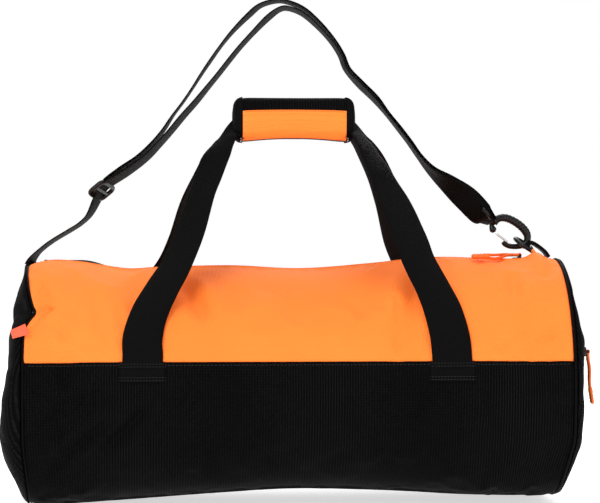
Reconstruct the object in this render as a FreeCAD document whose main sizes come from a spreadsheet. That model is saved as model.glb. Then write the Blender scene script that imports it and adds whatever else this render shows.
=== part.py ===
import FreeCAD, Part
import math
import os

# A barrel sports duffel: two-tone fabric shell, two carry handles joined by a
# padded grip, a clip-on shoulder strap, a main zip and a pocket zip on the
# right end.  Millimetres.  +X runs along the barrel, -Y is the front, +Z is up
# and the origin is the middle of the flat base.

DIMENSIONS = [
    # alias, value, what it is
    ("barrel_half_length", 260, "middle of the bag to the edge of the barrel panels"),
    ("barrel_radius", 120, "upper half of the barrel's section"),
    ("barrel_centre_height", 122, "height of the middle of that upper half"),
    ("side_radius", 300, "gentle curve of the lower sides"),
    ("corner_radius", 50, "curve from the sides into the flat base"),
    ("fabric_thickness", 2, "shell fabric with its backing"),
    ("seam_height", 138, "seam between the upper and base panels"),
    ("front_zip_edge", -7, "Y of the front panel's edge beside the zip"),
    ("rear_zip_edge", 13, "Y of the rear panel's edge beside the zip"),
    ("piping_radius", 2.2, "cord piping round each end"),
    ("end_start", 264.8, "middle of the bag to the rim of an end panel"),
    ("left_bulge", 22, "how far the left end stands out from its rim"),
    ("right_bulge", 16, "how far the right end stands out from its rim"),
    ("flat_scale", 0.74, "flat middle of an end panel against its rim"),
    ("pocket_half_width", 74, "bag of fabric behind the pocket zip"),
    ("pocket_depth", 100, "how far that bag hangs below the zip"),
    ("pocket_rise", 14, "how far it reaches above the zip"),
    ("ribbon_tab_low", 167, "lower edge of the ribbon tab at the left end"),
    ("ribbon_tab_high", 179, "upper edge of the ribbon tab"),
    ("ribbon_tab_front", 113.2, "middle plane of the bag to the tab's front"),
    ("binding_width", 8, "tape that binds the raw edges inside an end seam"),
    ("binding_thickness", 0.8, "thickness of that tape"),
    ("board_length", 480, "stiffening board in the base"),
    ("board_width", 112, "stiffening board in the base"),
    ("board_thickness", 3, "stiffening board in the base"),
    ("board_corner", 15, "corner radius of the board"),
    ("sheet_clearance", 0.3, "space between sheets that only lie on each other"),
    ("zip_line", 3, "Y of the middle of the main zip"),
    ("main_zip_half_length", 245, "half the main zip's coil"),
    ("main_zip_height", 237.6, "underside of the main zip's tapes"),
    ("pocket_zip_half_length", 60, "half the pocket zip's coil"),
    ("pocket_zip_height", 150, "height of the pocket zip"),
    ("tape_width", 12, "each zip tape"),
    ("tape_thickness", 0.8, "each zip tape"),
    ("coil_radius", 1.1, "each row of zip teeth"),
    ("coil_offset", 2.1, "middle of the zip to a row of teeth"),
    ("stop_length", 3, "end stops of a zip"),
    ("slider_length", 13, "zip slider"),
    ("slider_width", 9, "zip slider"),
    ("plate_thickness", 1.3, "top and bottom plates of a slider"),
    ("bail_radius", 0.9, "bar on the slider that the pull hangs from"),
    ("bail_height", 7.2, "tape underside to the bail's middle"),
    ("connector_length", 9, "moulded end of the pull at the slider"),
    ("cord_length", 26, "cords between the moulded ends"),
    ("pull_cord_radius", 1.1, "cord of a zip pull"),
    ("pull_grip_length", 17, "moulded grip of a pull"),
    ("pull_grip_width", 9, "moulded grip of a pull"),
    ("pull_thickness", 4, "moulded grip of a pull"),
    ("webbing_thickness", 1.5, "strap and handle webbing"),
    ("handle_width", 38, "handle webbing at the seam"),
    ("handle_neck", 28, "handle webbing inside the grip"),
    ("handle_run_half_length", 66, "half the straight webbing inside the grip"),
    ("handle_stand_off", 1.5, "handle webbing's distance from the barrel"),
    ("seam_spread", 154, "middle of the bag to a handle's middle at the seam"),
    ("grip_half_width", 61, "half the length of the grip"),
    ("grip_bottom", 357, "underside of the grip"),
    ("grip_top", 402, "top of the grip"),
    ("grip_depth", 22, "middle plane to the face of the grip"),
    ("grip_parting", 0.4, "middle plane to the face where the two halves meet"),
    ("grip_corner", 9, "rounding of the grip"),
    ("grip_skin", 1.5, "cover fabric of the grip"),
    ("grip_slot_start", 46, "middle of the grip to where a leg leaves its underside"),
    ("foam_half_length", 45.7, "half the length of the grip's foam"),
    ("strip_half_length", 50, "half the length of the grip's closing strip"),
    ("grip_panel_half_length", 51.5, "half the length of the grip's orange panel"),
    ("grip_panel_thickness", 0.9, "orange panel on the front of the grip"),
    ("grip_webbing_depth", 9, "middle plane to the webbing inside the grip"),
    ("patch_height", 16, "stitched patch under each handle"),
    ("patch_stand_off", 0.2, "barrel to the back of a patch"),
    ("strap_width", 25, "shoulder strap webbing"),
    ("layer_offset", 2.25, "middle of the doubled strap to each layer"),
    ("ring_wire", 2, "radius of the D-ring's wire"),
    ("ring_clearance", 2.3, "space between the D-ring and the hook that holds it"),
    ("ring_inner_width", 24, "D-ring"),
    ("ring_reach", 20, "D-ring bar to the middle of its round side"),
    ("fold_distance", 34.8, "middle of the hook's curve to the fold of the webbing"),
    ("hook_radius", 14.5, "middle line of the snap hook's curve"),
    ("hook_band", 7, "width of the hook's curve"),
    ("hook_thickness", 6, "snap hook"),
    ("stud_radius", 2.5, "swivel stud of the hook"),
    ("swivel_start", 26, "middle of the hook's curve to the swivel loop's wall"),
    ("swivel_reach", 41, "middle of the hook's curve to the loop's far bar"),
    ("swivel_inside", 14, "half the width inside the swivel loop"),
    ("swivel_outside", 16.6, "half the width of the swivel loop"),
    ("running_clearance", 0.06, "radial clearance of pins and studs"),
    ("gate_wire", 0.75, "radius of the gate's spring wire"),
]

doc = FreeCAD.newDocument("duffel_bag")
sheet = doc.addObject("Spreadsheet::Sheet", "dims")
for row, (alias, value, meaning) in enumerate(DIMENSIONS, start=1):
    sheet.set(f"A{row}", meaning)
    sheet.set(f"B{row}", str(value))
    sheet.setAlias(f"B{row}", alias)
doc.recompute()

nodes = {}


# ---------------------------------------------------------------- helpers

def dim(alias):
    """A driving dimension as a plain number."""
    return float(getattr(sheet, alias))


def vec(x, y, z=0.0):
    return FreeCAD.Vector(x, y, z)


def keep(obj, label):
    """Name a finished sub-part; its label is its file's name."""
    obj.Label = label
    nodes[label] = obj
    return obj


def named(alias_text):
    """An expression in which every alias is read from the sheet."""
    words = []
    for word in str(alias_text).replace("(", "( ").replace(")", " )").split():
        words.append(f"dims.{word}" if word[0].isalpha() else word)
    return " ".join(words)


def box(name, low, high, frame=None):
    """A Part::Box between two corners, each given as three expressions."""
    obj = doc.addObject("Part::Box", name)
    sides = ("Length", "Width", "Height")
    for prop, axis, start, end in zip(sides, "xyz", low, high):
        obj.setExpression(prop, f"({named(end)}) - ({named(start)})")
        if frame is None:
            obj.setExpression(f"Placement.Base.{axis}", named(start))
    if frame is not None:
        corner = vec(*(evaluate(text) for text in low))
        obj.Placement = frame.multiply(FreeCAD.Placement(corner, FreeCAD.Rotation()))
    return obj


def evaluate(alias_text):
    """The value of such an expression."""
    total = sheet.evalExpression(named(alias_text))
    return float(getattr(total, "Value", total))


def rod(name, radius, length, base, direction, frame=None):
    """A Part::Cylinder whose radius and length are expressions."""
    obj = doc.addObject("Part::Cylinder", name)
    obj.setExpression("Radius", named(radius))
    obj.setExpression("Height", named(length))
    place = FreeCAD.Placement(base, FreeCAD.Rotation(vec(0, 0, 1), direction))
    obj.Placement = frame.multiply(place) if frame is not None else place
    return obj


def cut(name, base, tool):
    obj = doc.addObject("Part::Cut", name)
    obj.Base = base
    obj.Tool = tool
    return obj


def fuse(name, *shapes):
    obj = doc.addObject("Part::MultiFuse", name)
    obj.Shapes = list(shapes)
    return obj


def rounded(name, base, radius, choose):
    """A Part::Fillet of the edges that choose(edge) picks."""
    doc.recompute()
    obj = doc.addObject("Part::Fillet", name)
    obj.Base = base
    picked = [i for i, edge in enumerate(base.Shape.Edges, start=1) if choose(edge)]
    obj.Edges = [(i, radius, radius) for i in picked]
    return obj


def add_sketch(body, name, role, curves, offset):
    """A sketch of ready curves on one of the body's own planes."""
    sketch = body.newObject("Sketcher::SketchObject", name)
    plane = next(item for item in body.Origin.OriginFeatures if item.Role == role)
    sketch.AttachmentSupport = [(plane, "")]
    sketch.MapMode = "FlatFace"
    sketch.setExpression("AttachmentOffset.Base.z", named(offset))
    sketch.addGeometry(curves)
    return sketch


def padded(label, role, curves, start, length, symmetric=False):
    """A body of one sketch and one pad."""
    body = doc.addObject("PartDesign::Body", label)
    sketch = add_sketch(body, f"{label}_outline", role, curves, start)
    pad = body.newObject("PartDesign::Pad", f"{label}_pad")
    pad.Profile = sketch
    pad.setExpression("Length", named(length))
    if symmetric:
        pad.SideType = "Symmetric"
    return body


def closed_lines(points):
    """Line segments round a closed outline."""
    return [Part.LineSegment(a, b) for a, b in zip(points, points[1:] + points[:1])]


def rectangle(x_low, y_low, x_high, y_high):
    return closed_lines([vec(x_low, y_low), vec(x_high, y_low),
                         vec(x_high, y_high), vec(x_low, y_high)])


def arc(centre, radius, start_degrees, end_degrees):
    """An arc through three points, from one angle to the other."""
    points = []
    for degrees in (start_degrees, (start_degrees + end_degrees) / 2, end_degrees):
        turn = math.radians(degrees)
        points.append(centre + vec(radius * math.cos(turn), radius * math.sin(turn)))
    return Part.Arc(*points)


# ------------------------------------------------- section of the barrel

def side_angle():
    """Angle below level at which a side's curve meets the base corner."""
    drop = dim("barrel_centre_height") - dim("corner_radius")
    return math.degrees(math.asin(drop / (dim("side_radius") - dim("corner_radius"))))


def lower_chain(offset, start_degrees):
    """Curves from a point on the front of the barrel, under the base, to its mirror."""
    centre = vec(0, dim("barrel_centre_height"))
    shift = dim("side_radius") - dim("barrel_radius")
    angle = side_angle()
    reach = (dim("side_radius") - dim("corner_radius")) * math.cos(math.radians(angle))
    corner_y = reach - shift
    corner = dim("corner_radius")
    front = [
        arc(centre, dim("barrel_radius") - offset, start_degrees, 180),
        arc(centre + vec(shift, 0), dim("side_radius") - offset, 180, 180 + angle),
        arc(vec(-corner_y, corner), corner - offset, 180 + angle, 270),
    ]
    base = Part.LineSegment(vec(-corner_y, offset), vec(corner_y, offset))
    rear = [
        arc(vec(corner_y, corner), corner - offset, 270, 360 - angle),
        arc(centre - vec(shift, 0), dim("side_radius") - offset, 360 - angle, 360),
        arc(centre, dim("barrel_radius") - offset, 0, 180 - start_degrees),
    ]
    return front + [base] + rear


def top_arc(offset, start_degrees, end_degrees):
    centre = vec(0, dim("barrel_centre_height"))
    return arc(centre, dim("barrel_radius") - offset, start_degrees, end_degrees)


def closed_section(offset):
    """The whole outline of the barrel, moved inwards by offset."""
    seam = seam_degrees()
    return lower_chain(offset, seam) + [top_arc(offset, 180 - seam, seam)]


def seam_degrees():
    """Angle of the front seam, measured from the rear."""
    rise = dim("seam_height") - dim("barrel_centre_height")
    return 180 - math.degrees(math.asin(rise / dim("barrel_radius")))


def degrees_at(y):
    """Angle on the top of the barrel at a given Y."""
    return math.degrees(math.acos(y / dim("barrel_radius")))


def surface_height(y, stand_off=0.0):
    """Height of the barrel's top at a given Y."""
    radius = dim("barrel_radius") + stand_off
    return dim("barrel_centre_height") + math.sqrt(radius ** 2 - y ** 2)


def on_circle(radius, degrees):
    """A point of the section's upper circle."""
    turn = math.radians(degrees)
    height = dim("barrel_centre_height") + radius * math.sin(turn)
    return vec(radius * math.cos(turn), height)


def radial_line(offset, degrees):
    """The cut edge of a panel, from its outer to its inner face."""
    outer = dim("barrel_radius")
    return Part.LineSegment(on_circle(outer, degrees), on_circle(outer - offset, degrees))


# ----------------------------------------------------------------- shell

def make_barrel():
    """Upper panels, base panel, stiffening board and seam bindings."""
    fabric = dim("fabric_thickness")
    seam = seam_degrees()
    panels = {
        "front_upper_panel": (seam, degrees_at(dim("front_zip_edge"))),
        "rear_upper_panel": (degrees_at(dim("rear_zip_edge")), 180 - seam),
    }
    for label, (start, end) in panels.items():
        curves = [top_arc(0, start, end), top_arc(fabric, start, end)]
        curves += [radial_line(fabric, start), radial_line(fabric, end)]
        keep(padded(label, "YZ_Plane", curves, "0 - barrel_half_length",
                    "2 * barrel_half_length"), label)
    curves = lower_chain(0, seam) + lower_chain(fabric, seam)
    curves += [radial_line(fabric, seam), radial_line(fabric, 180 - seam)]
    keep(padded("base_panel", "YZ_Plane", curves, "0 - barrel_half_length",
                "2 * barrel_half_length"), "base_panel")

    half_length = dim("board_length") / 2
    half_width = dim("board_width") / 2
    board = padded("base_stiffener_board", "XY_Plane",
                   rectangle(-half_length, -half_width, half_length, half_width),
                   "fabric_thickness + sheet_clearance", "board_thickness")
    doc.recompute()
    pad = board.Tip
    upright = [f"Edge{i}" for i, edge in enumerate(pad.Shape.Edges, start=1)
               if abs(edge.tangentAt(edge.FirstParameter).z) > 0.9]
    corners = board.newObject("PartDesign::Fillet", "board_corners")
    corners.Base = (pad, upright)
    corners.setExpression("Radius", named("board_corner"))
    board.Tip = corners
    keep(board, "base_stiffener_board")

    inner = fabric + dim("sheet_clearance")
    ring = closed_section(inner) + closed_section(inner + dim("binding_thickness"))
    starts = {
        "left_seam_binding": "0 - barrel_half_length",
        "right_seam_binding": "barrel_half_length - binding_width",
    }
    for label, start in starts.items():
        keep(padded(label, "YZ_Plane", ring, start, "binding_width"), label)



def scaled_section(offset, scale, x):
    """The barrel's outline as a wire at x, shrunk towards its middle."""
    edges = [curve.toShape() for curve in closed_section(offset)]
    wire = Part.Wire(Part.__sortEdges__(edges))
    wire.scale(scale, vec(0, dim("barrel_centre_height")))
    turn = FreeCAD.Rotation(vec(0, 1, 0), vec(0, 0, 1), vec(1, 0, 0), "ZXY")
    wire.Placement = FreeCAD.Placement(vec(x, 0, 0), turn)
    return wire


def end_dome(bulge, offset):
    """A solid end of the bag: rim, rounded shoulder and flat middle."""
    shoulder_scale = 0.93
    shoulder_reach = 0.7
    start = dim("end_start") - offset
    sections = [
        scaled_section(offset, 1, start),
        scaled_section(offset, shoulder_scale, start + bulge * shoulder_reach),
        scaled_section(offset, dim("flat_scale"), start + bulge),
    ]
    return Part.makeLoft(sections, True, True)


def pocket_slot():
    """The slot behind the pocket zip, a little longer and wider than its slider."""
    half_height = dim("slider_width") / 2 + 1.5
    half_length = dim("pocket_zip_half_length") + 4
    slot = Part.makeBox(dim("end_start"), 2 * half_length, 2 * half_height)
    slot.translate(vec(dim("end_start"), -half_length,
                       dim("pocket_zip_height") - half_height))
    return slot


def make_ends():
    """Domed end panels, the piping round them and what is sewn to them."""
    fabric = dim("fabric_thickness")
    half_turn = FreeCAD.Placement(vec(0, 0, 0), FreeCAD.Rotation(vec(0, 0, 1), 180))
    for side, bulge, place in (("left", dim("left_bulge"), half_turn),
                               ("right", dim("right_bulge"), FreeCAD.Placement())):
        shell = end_dome(bulge, 0).cut(end_dome(bulge, fabric))
        if side == "right":
            shell = shell.cut(pocket_slot())
        panel = doc.addObject("Part::Feature", f"{side}_end_panel")
        panel.Shape = shell
        panel.Placement = place
        keep(panel, f"{side}_end_panel")

        radius = dim("piping_radius")
        middle = (dim("barrel_half_length") + dim("end_start")) / 2
        path = scaled_section(radius, 1, middle)
        start = path.Edges[0].firstVertex().Point
        along = path.Edges[0].tangentAt(path.Edges[0].FirstParameter)
        ring = Part.Wire(Part.makeCircle(radius, start, along))
        piping = doc.addObject("Part::Feature", f"{side}_end_piping")
        piping.Shape = path.makePipeShell([ring], True, False)
        piping.Placement = place
        keep(piping, f"{side}_end_piping")

    low = ("end_start + 5", "0 - pocket_half_width", "pocket_zip_height - pocket_depth")
    high = ("end_start + 6.5", "pocket_half_width", "pocket_zip_height + pocket_rise")
    keep(box("end_pocket_lining", low, high), "end_pocket_lining")
    low = ("0 - barrel_half_length - 15", "0 - ribbon_tab_front", "ribbon_tab_low")
    high = ("0 - barrel_half_length + 4", "0 - ribbon_tab_front + webbing_thickness",
            "ribbon_tab_high")
    keep(box("left_ribbon_tab", low, high), "left_ribbon_tab")


# ------------------------------------------------------------------ zips

def make_zip(prefix, frame, half_length, names):
    """Two tapes, two rows of teeth and the end stops, in the zip's own frame."""
    top = "tape_thickness"
    for name, side in zip(names, (-1, 1)):
        inner = "coil_offset - coil_radius"
        outer = f"{inner} + tape_width"
        low, high = (inner, outer) if side > 0 else (f"0 - ({outer})", f"0 - ({inner})")
        keep(box(f"{prefix}_tape_{name}", (f"0 - {half_length} - 7", low, "0"),
                 (f"{half_length} + 7", high, top), frame), f"{prefix}_tape_{name}")
        height = dim("tape_thickness") + dim("coil_radius")
        start = vec(-dim(half_length), side * dim("coil_offset"), height)
        keep(rod(f"{prefix}_teeth_{name}", "coil_radius", f"2 * {half_length}", start,
                 vec(1, 0, 0), frame), f"{prefix}_teeth_{name}")
    stops = []
    for side, end in (("left", f"0 - {half_length} - stop_length - 0.2"),
                      ("right", f"{half_length} + 0.2")):
        low = (end, "0 - coil_offset - coil_radius", top)
        high = (f"{end} + stop_length", "coil_offset + coil_radius", f"{top} + 2 * coil_radius")
        stops.append(box(f"{prefix}_stop_{side}", low, high, frame))
    keep(fuse(f"{prefix}_end_stops", *stops), f"{prefix}_end_stops")


def make_slider(prefix, frame, bail_across):
    """A slider: two plates, the divider between the rows, and the bail on top."""
    half_length, half_width = "slider_length / 2", "slider_width / 2"
    low_face = "0 - 0.5 - plate_thickness"
    top_face = "tape_thickness + 2 * coil_radius + 0.4"
    corner = (f"0 - {half_length}", f"0 - {half_width}", low_face)
    bottom = box(f"{prefix}_bottom_plate", corner, (half_length, half_width, "0 - 0.5"), frame)
    top = box(f"{prefix}_top_plate", (f"0 - {half_length}", f"0 - {half_width}", top_face),
              (half_length, half_width, f"{top_face} + plate_thickness"), frame)
    divider = box(f"{prefix}_divider", (f"0 - {half_length}", "0 - 0.5", low_face),
                  (half_length, "0.5", top_face), frame)
    post_gap = dim("pull_grip_width") / 2 - 0.9
    post_end = dim("pull_grip_width") / 2 + 0.2
    pieces = [bottom, top, divider]
    turn = FreeCAD.Rotation(vec(0, 0, 1), 0 if bail_across else 90)
    bail_frame = frame.multiply(FreeCAD.Placement(vec(0, 0, 0), turn))
    for side in (-1, 1):
        low, high = sorted((side * post_gap, side * post_end))
        pieces.append(box(f"{prefix}_post_{side + 1}", ("0 - 1.2", f"{low}", top_face),
                          ("1.2", f"{high}", "bail_height + bail_radius"), bail_frame))
    pieces.append(rod(f"{prefix}_bail", "bail_radius", f"{2 * post_end}",
                      vec(0, -post_end, dim("bail_height")), vec(0, 1, 0), bail_frame))
    return keep(fuse(f"{prefix}_slider", *pieces), f"{prefix}_slider")


def make_pull(prefix, frame):
    """A cord pull: eye and connector, a loop of cord, and a moulded grip."""
    half = dim("pull_grip_width") / 2 - 1.2
    eye = rod(f"{prefix}_eye", "2.2", f"{2 * half}", vec(0, -half, 0), vec(0, 1, 0), frame)
    arm = box(f"{prefix}_arm", ("0.6", f"{-half}", "0 - 1.5"),
              ("connector_length", f"{half}", "1.5"), frame)
    solid = fuse(f"{prefix}_connector_solid", eye, arm)
    bore = rod(f"{prefix}_eye_bore", "bail_radius + running_clearance", f"{2 * half + 2}",
               vec(0, -half - 1, 0), vec(0, 1, 0), frame)
    keep(cut(f"{prefix}_pull_connector", solid, bore), f"{prefix}_pull_connector")
    cords = []
    for side in (-1, 1):
        start = vec(dim("connector_length"), side * (half - dim("pull_cord_radius")), 0)
        cords.append(rod(f"{prefix}_cord_{side + 1}", "pull_cord_radius", "cord_length",
                         start, vec(1, 0, 0), frame))
    keep(fuse(f"{prefix}_pull_cord", *cords), f"{prefix}_pull_cord")
    start = "connector_length + cord_length"
    low = (start, "0 - pull_grip_width / 2", "0 - pull_thickness / 2")
    high = (f"{start} + pull_grip_length", "pull_grip_width / 2", "pull_thickness / 2")
    grip = box(f"{prefix}_grip_block", low, high, frame)
    rounding = 0.4 * dim("pull_thickness")
    keep(rounded(f"{prefix}_pull_grip", grip, rounding, lambda edge: True), f"{prefix}_pull_grip")


def main_zip_frame():
    place = vec(0, dim("zip_line"), dim("main_zip_height"))
    return FreeCAD.Placement(place, FreeCAD.Rotation())


def pocket_zip_frame():
    """Along -Y to +Y on the flat of the right end, facing +X."""
    x = dim("end_start") + dim("right_bulge") + 0.3
    turn = FreeCAD.Rotation(vec(0, 1, 0), vec(0, 0, 1), vec(1, 0, 0), "ZXY")
    return FreeCAD.Placement(vec(x, 0, dim("pocket_zip_height")), turn)


def shifted(frame, x, y=0.0, z=0.0):
    return frame.multiply(FreeCAD.Placement(vec(x, y, z), FreeCAD.Rotation()))


# Where the sliders stand when the zips are closed.
MAIN_SLIDER_X = 228
POCKET_SLIDER_Y = -48


def make_zips():
    """The main zip along the top and the pocket zip across the right end."""
    main = main_zip_frame()
    make_zip("main_zip", main, "main_zip_half_length", ("front", "rear"))
    slider_frame = shifted(main, MAIN_SLIDER_X)
    make_slider("main_zip", slider_frame, True)
    make_pull("main_zip", pull_frame_main())

    pocket = pocket_zip_frame()
    make_zip("pocket_zip", pocket, "pocket_zip_half_length", ("lower", "upper"))
    make_slider("pocket_zip", shifted(pocket, POCKET_SLIDER_Y), False)
    make_pull("pocket_zip", pull_frame_pocket())

    crown = "barrel_centre_height + barrel_radius"
    low = ("main_zip_half_length - 4", "zip_line - 4", f"{crown} + 0.4")
    high = ("main_zip_half_length + 1", "zip_line + 4", f"{crown} + 9")
    keep(box("right_zip_end_tab", low, high), "right_zip_end_tab")


def pull_frame_main():
    """At the main slider's bail, pointing to the left, bail along Y."""
    start = vec(MAIN_SLIDER_X, dim("zip_line"), dim("main_zip_height") + dim("bail_height"))
    return FreeCAD.Placement(start, FreeCAD.Rotation(vec(0, 0, 1), 180))


def pull_frame_pocket():
    """At the pocket slider's bail, hanging down, bail along Y."""
    origin = shifted(pocket_zip_frame(), POCKET_SLIDER_Y, 0, dim("bail_height")).Base
    turn = FreeCAD.Rotation(vec(0, 0, -1), vec(0, 1, 0), vec(1, 0, 0), "ZXY")
    return FreeCAD.Placement(origin, turn)


# --------------------------------------------------------------- handles

def ribbon(points, half_widths):
    """The outline of a flat ribbon along hand-chosen middle points."""
    left, right = [], []
    for index, (point, half_width) in enumerate(zip(points, half_widths)):
        before = points[max(index - 1, 0)]
        after = points[min(index + 1, len(points) - 1)]
        along = (after - before).normalize()
        across = vec(-along.y, along.x) * half_width
        left.append(point + across)
        right.append(point - across)
    return left + right[::-1]


def plate(outline, place_point, thickness_vector):
    """A flat plate: an outline put in space by place_point, and thickened."""
    corners = [place_point(point) for point in outline]
    face = Part.Face(Part.makePolygon(corners + corners[:1]))
    return face.extrude(thickness_vector)


# A handle's leg in its own tilted plane: distance from the middle of the bag
# and distance up from the barrel, with half the webbing's width at each point.
HANDLE_LEG = [(154, 0), (144, 28), (121, 74), (100, 134), (82, 178), (64, 216)]
HANDLE_HALF_WIDTHS = [19, 19, 19, 18, 15, 14]


def handle_start():
    """Where a handle leaves the barrel, and the direction it leaves in."""
    centre = vec(0, 0, dim("barrel_centre_height"))
    radius = dim("barrel_radius") + dim("handle_stand_off")
    grip_middle = (dim("grip_bottom") + dim("grip_top")) / 2
    top = vec(0, -dim("grip_webbing_depth"), grip_middle - 10)
    reach = (top - centre).Length
    angle = math.atan2(top.z - centre.z, top.y) + math.acos(radius / reach)
    outward = vec(0, math.cos(angle), math.sin(angle))
    start = centre + outward * radius
    return start, (top - start).normalize(), outward, angle


def handle_shape():
    """Front handle: two legs off the seam and the run between them."""
    start, along, outward, angle = handle_start()
    thickness = dim("webbing_thickness")
    radius = dim("barrel_radius") + dim("handle_stand_off")
    centre = vec(0, dim("barrel_centre_height"))
    low_degrees = seam_degrees() - 0.2
    high_degrees = math.degrees(angle)
    curves = [arc(centre, radius, low_degrees, high_degrees),
              arc(centre, radius + thickness, low_degrees, high_degrees)]
    for degrees in (low_degrees, high_degrees):
        curves.append(Part.LineSegment(on_circle(radius, degrees),
                                       on_circle(radius + thickness, degrees)))
    edges = Part.__sortEdges__([curve.toShape() for curve in curves])
    section = Part.Face(Part.Wire(edges))
    turn = FreeCAD.Rotation(vec(0, 1, 0), vec(0, 0, 1), vec(1, 0, 0), "ZXY")
    half_width = dim("handle_width") / 2
    pieces = []
    for side in (-1, 1):
        foot = section.copy()
        foot.Placement = FreeCAD.Placement(vec(side * dim("seam_spread") - half_width, 0, 0), turn)
        pieces.append(foot.extrude(vec(2 * half_width, 0, 0)))
        points = [vec(side * x, distance) for x, distance in HANDLE_LEG]
        outline = ribbon(points, HANDLE_HALF_WIDTHS)
        pieces.append(plate(outline, lambda p: start + vec(p.x, 0, 0) + along * p.y,
                            outward * thickness))
    run_half = dim("handle_run_half_length")
    run = Part.makeBox(2 * run_half, thickness, dim("handle_neck"))
    run.translate(vec(-run_half, -dim("grip_webbing_depth") - thickness, dim("grip_bottom") + 5))
    shape = run
    for piece in pieces:
        shape = shape.fuse(piece)
    return shape.removeSplitter()


def make_handles():
    """The two handles, their stitched patches, and the padded grip."""
    shape = handle_shape()
    for side, degrees in (("front", 0), ("rear", 180)):
        turn = FreeCAD.Placement(vec(0, 0, 0), FreeCAD.Rotation(vec(0, 0, 1), degrees))
        handle = doc.addObject("Part::Feature", f"{side}_handle_webbing")
        handle.Shape = shape
        handle.Placement = turn
        keep(handle, f"{side}_handle_webbing")
        for end, sign in (("left", -1), ("right", 1)):
            make_patch(f"{side}_{end}_anchor_patch", side, sign)
        make_grip_half(side, turn)
    low = ("0 - grip_panel_half_length", "0 - grip_depth - grip_panel_thickness", "grip_bottom + 2")
    high = ("grip_panel_half_length", "0 - grip_depth", "grip_top - 11")
    keep(box("grip_orange_panel", low, high), "grip_orange_panel")


def make_patch(label, side, sign):
    """A stitched patch on the base panel, under one end of a handle."""
    inner = "barrel_radius + patch_stand_off"
    outer = f"{inner} + webbing_thickness"
    low_y, high_y = (inner, outer) if side == "rear" else (f"0 - ({outer})", f"0 - ({inner})")
    half_width = "handle_width / 2 + 3"
    middle = f"{sign} * seam_spread"
    low = (f"{middle} - ({half_width})", low_y, "seam_height - 2 - patch_height")
    high = (f"{middle} + {half_width}", high_y, "seam_height - 2")
    keep(box(label, low, high), label)


def make_grip_half(side, turn):
    """Half of the padded grip: cover, foam, closing strip and bound ends."""
    block = box(f"{side}_grip_block", ("0 - grip_half_width", "0 - grip_depth", "grip_bottom"),
                ("grip_half_width", "0 - grip_parting", "grip_top"))

    def outer_edge(edge):
        middle = edge.CenterOfMass
        long_edge = abs(middle.x) < 1 and middle.y < -dim("grip_depth") + 1
        top_end = abs(middle.x) > dim("grip_half_width") - 1 and middle.z > dim("grip_top") - 1
        return long_edge or top_end

    soft = rounded(f"{side}_grip_outer", block, dim("grip_corner"), outer_edge)
    inner_face = "0 - grip_depth + grip_skin"
    low = ("0 - grip_half_width - 1", inner_face, "grip_bottom + grip_skin")
    hollow_block = box(f"{side}_grip_hollow_block", low,
                       ("grip_half_width + 1", "1", "grip_top - grip_skin"))

    def inner_edge(edge):
        middle = edge.CenterOfMass
        return abs(middle.x) < 1 and middle.y < -dim("grip_depth") + dim("grip_skin") + 0.1

    hollow_corner = dim("grip_corner") - dim("grip_skin")
    hollow = rounded(f"{side}_grip_hollow", hollow_block, hollow_corner, inner_edge)
    slots = []
    for end, low_x, high_x in (("left", "0 - grip_half_width - 9", "0 - grip_slot_start"),
                               ("right", "grip_slot_start", "grip_half_width + 9")):
        slots.append(box(f"{side}_grip_slot_{end}", (low_x, inner_face, "grip_bottom - 1"),
                         (high_x, "1", "grip_bottom + 20")))
    space = fuse(f"{side}_grip_space", hollow, *slots)
    cover = cut(f"{side}_grip_cover", soft, space)
    cover.Placement = turn
    keep(cover, f"{side}_grip_cover")

    low = ("0 - foam_half_length", f"{inner_face} + 2.8", "grip_bottom + grip_skin + 2.8")
    high = ("foam_half_length", "0 - grip_parting - 1.6", "grip_top - grip_skin - 2.8")
    foam_block = box(f"{side}_grip_foam_block", low, high)
    low = ("0 - foam_half_length - 1", "0 - grip_webbing_depth - webbing_thickness - 0.3",
           "grip_bottom + 4.7")
    high = ("foam_half_length + 1", "0 - grip_webbing_depth + 0.3",
            "grip_bottom + 5.3 + handle_neck")
    foam = cut(f"{side}_grip_foam", foam_block, box(f"{side}_grip_foam_slot", low, high))
    foam.Placement = turn
    keep(foam, f"{side}_grip_foam")

    low = ("0 - strip_half_length", "0 - grip_parting - 1.5", "grip_bottom + grip_skin")
    high = ("strip_half_length", "0 - grip_parting", "grip_top - grip_skin")
    label = f"{side}_grip_closing_strip"
    keep(box(label, low, high, turn), label)


# -------------------------------------------------------- shoulder strap

# Three points that fix the strap's plane, then places in it as (x, height).
RING_POINT = vec(229, 26, 260)
ANCHOR_POINT = vec(-263, 62, 240)
CREST_POINT = vec(-15, 0, 492)
HOOK_MIDDLE = vec(221.5, 264.5)
HOOK_AXIS = vec(-0.847, 0.532)

# The strap's two layers from the hook leftwards, and half the width seen at
# each point: the webbing turns partly edge-on where it is narrow.
LOWER_RUN = [(191, 283.6), (159.5, 310), (130.5, 340), (101.5, 379), (69.5, 415), (51.5, 439),
             (22.5, 476), (-6.5, 490), (-33.5, 473), (-59, 446), (-104.5, 393), (-139.5, 354),
             (-205, 299)]
LOWER_HALF_WIDTHS = [12.5, 12.5, 7, 8, 8, 8, 6, 6, 7, 8, 9, 12.5, 12.5]
UPPER_RUN = [(191, 283.6), (159.5, 310), (130.5, 340), (101.5, 379), (69.5, 415), (51.5, 441),
             (22.5, 480), (-6.5, 495), (-41, 486), (-64, 466), (-84, 442), (-121.5, 385), (-139.5, 354),
             (-205, 299), (-233.5, 264), (-251.5, 249), (-263, 240)]
UPPER_HALF_WIDTHS = [12.5, 12.5, 7, 8, 8, 8, 6, 6, 7, 7, 7, 9, 12.5, 12.5, 11, 10, 9]


def strap_plane():
    """The strap's plane as y = a x + b z + c, with its normal."""
    first = RING_POINT - ANCHOR_POINT
    second = CREST_POINT - ANCHOR_POINT
    normal = first.cross(second).normalize()
    return normal if normal.y < 0 else normal * -1


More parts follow.
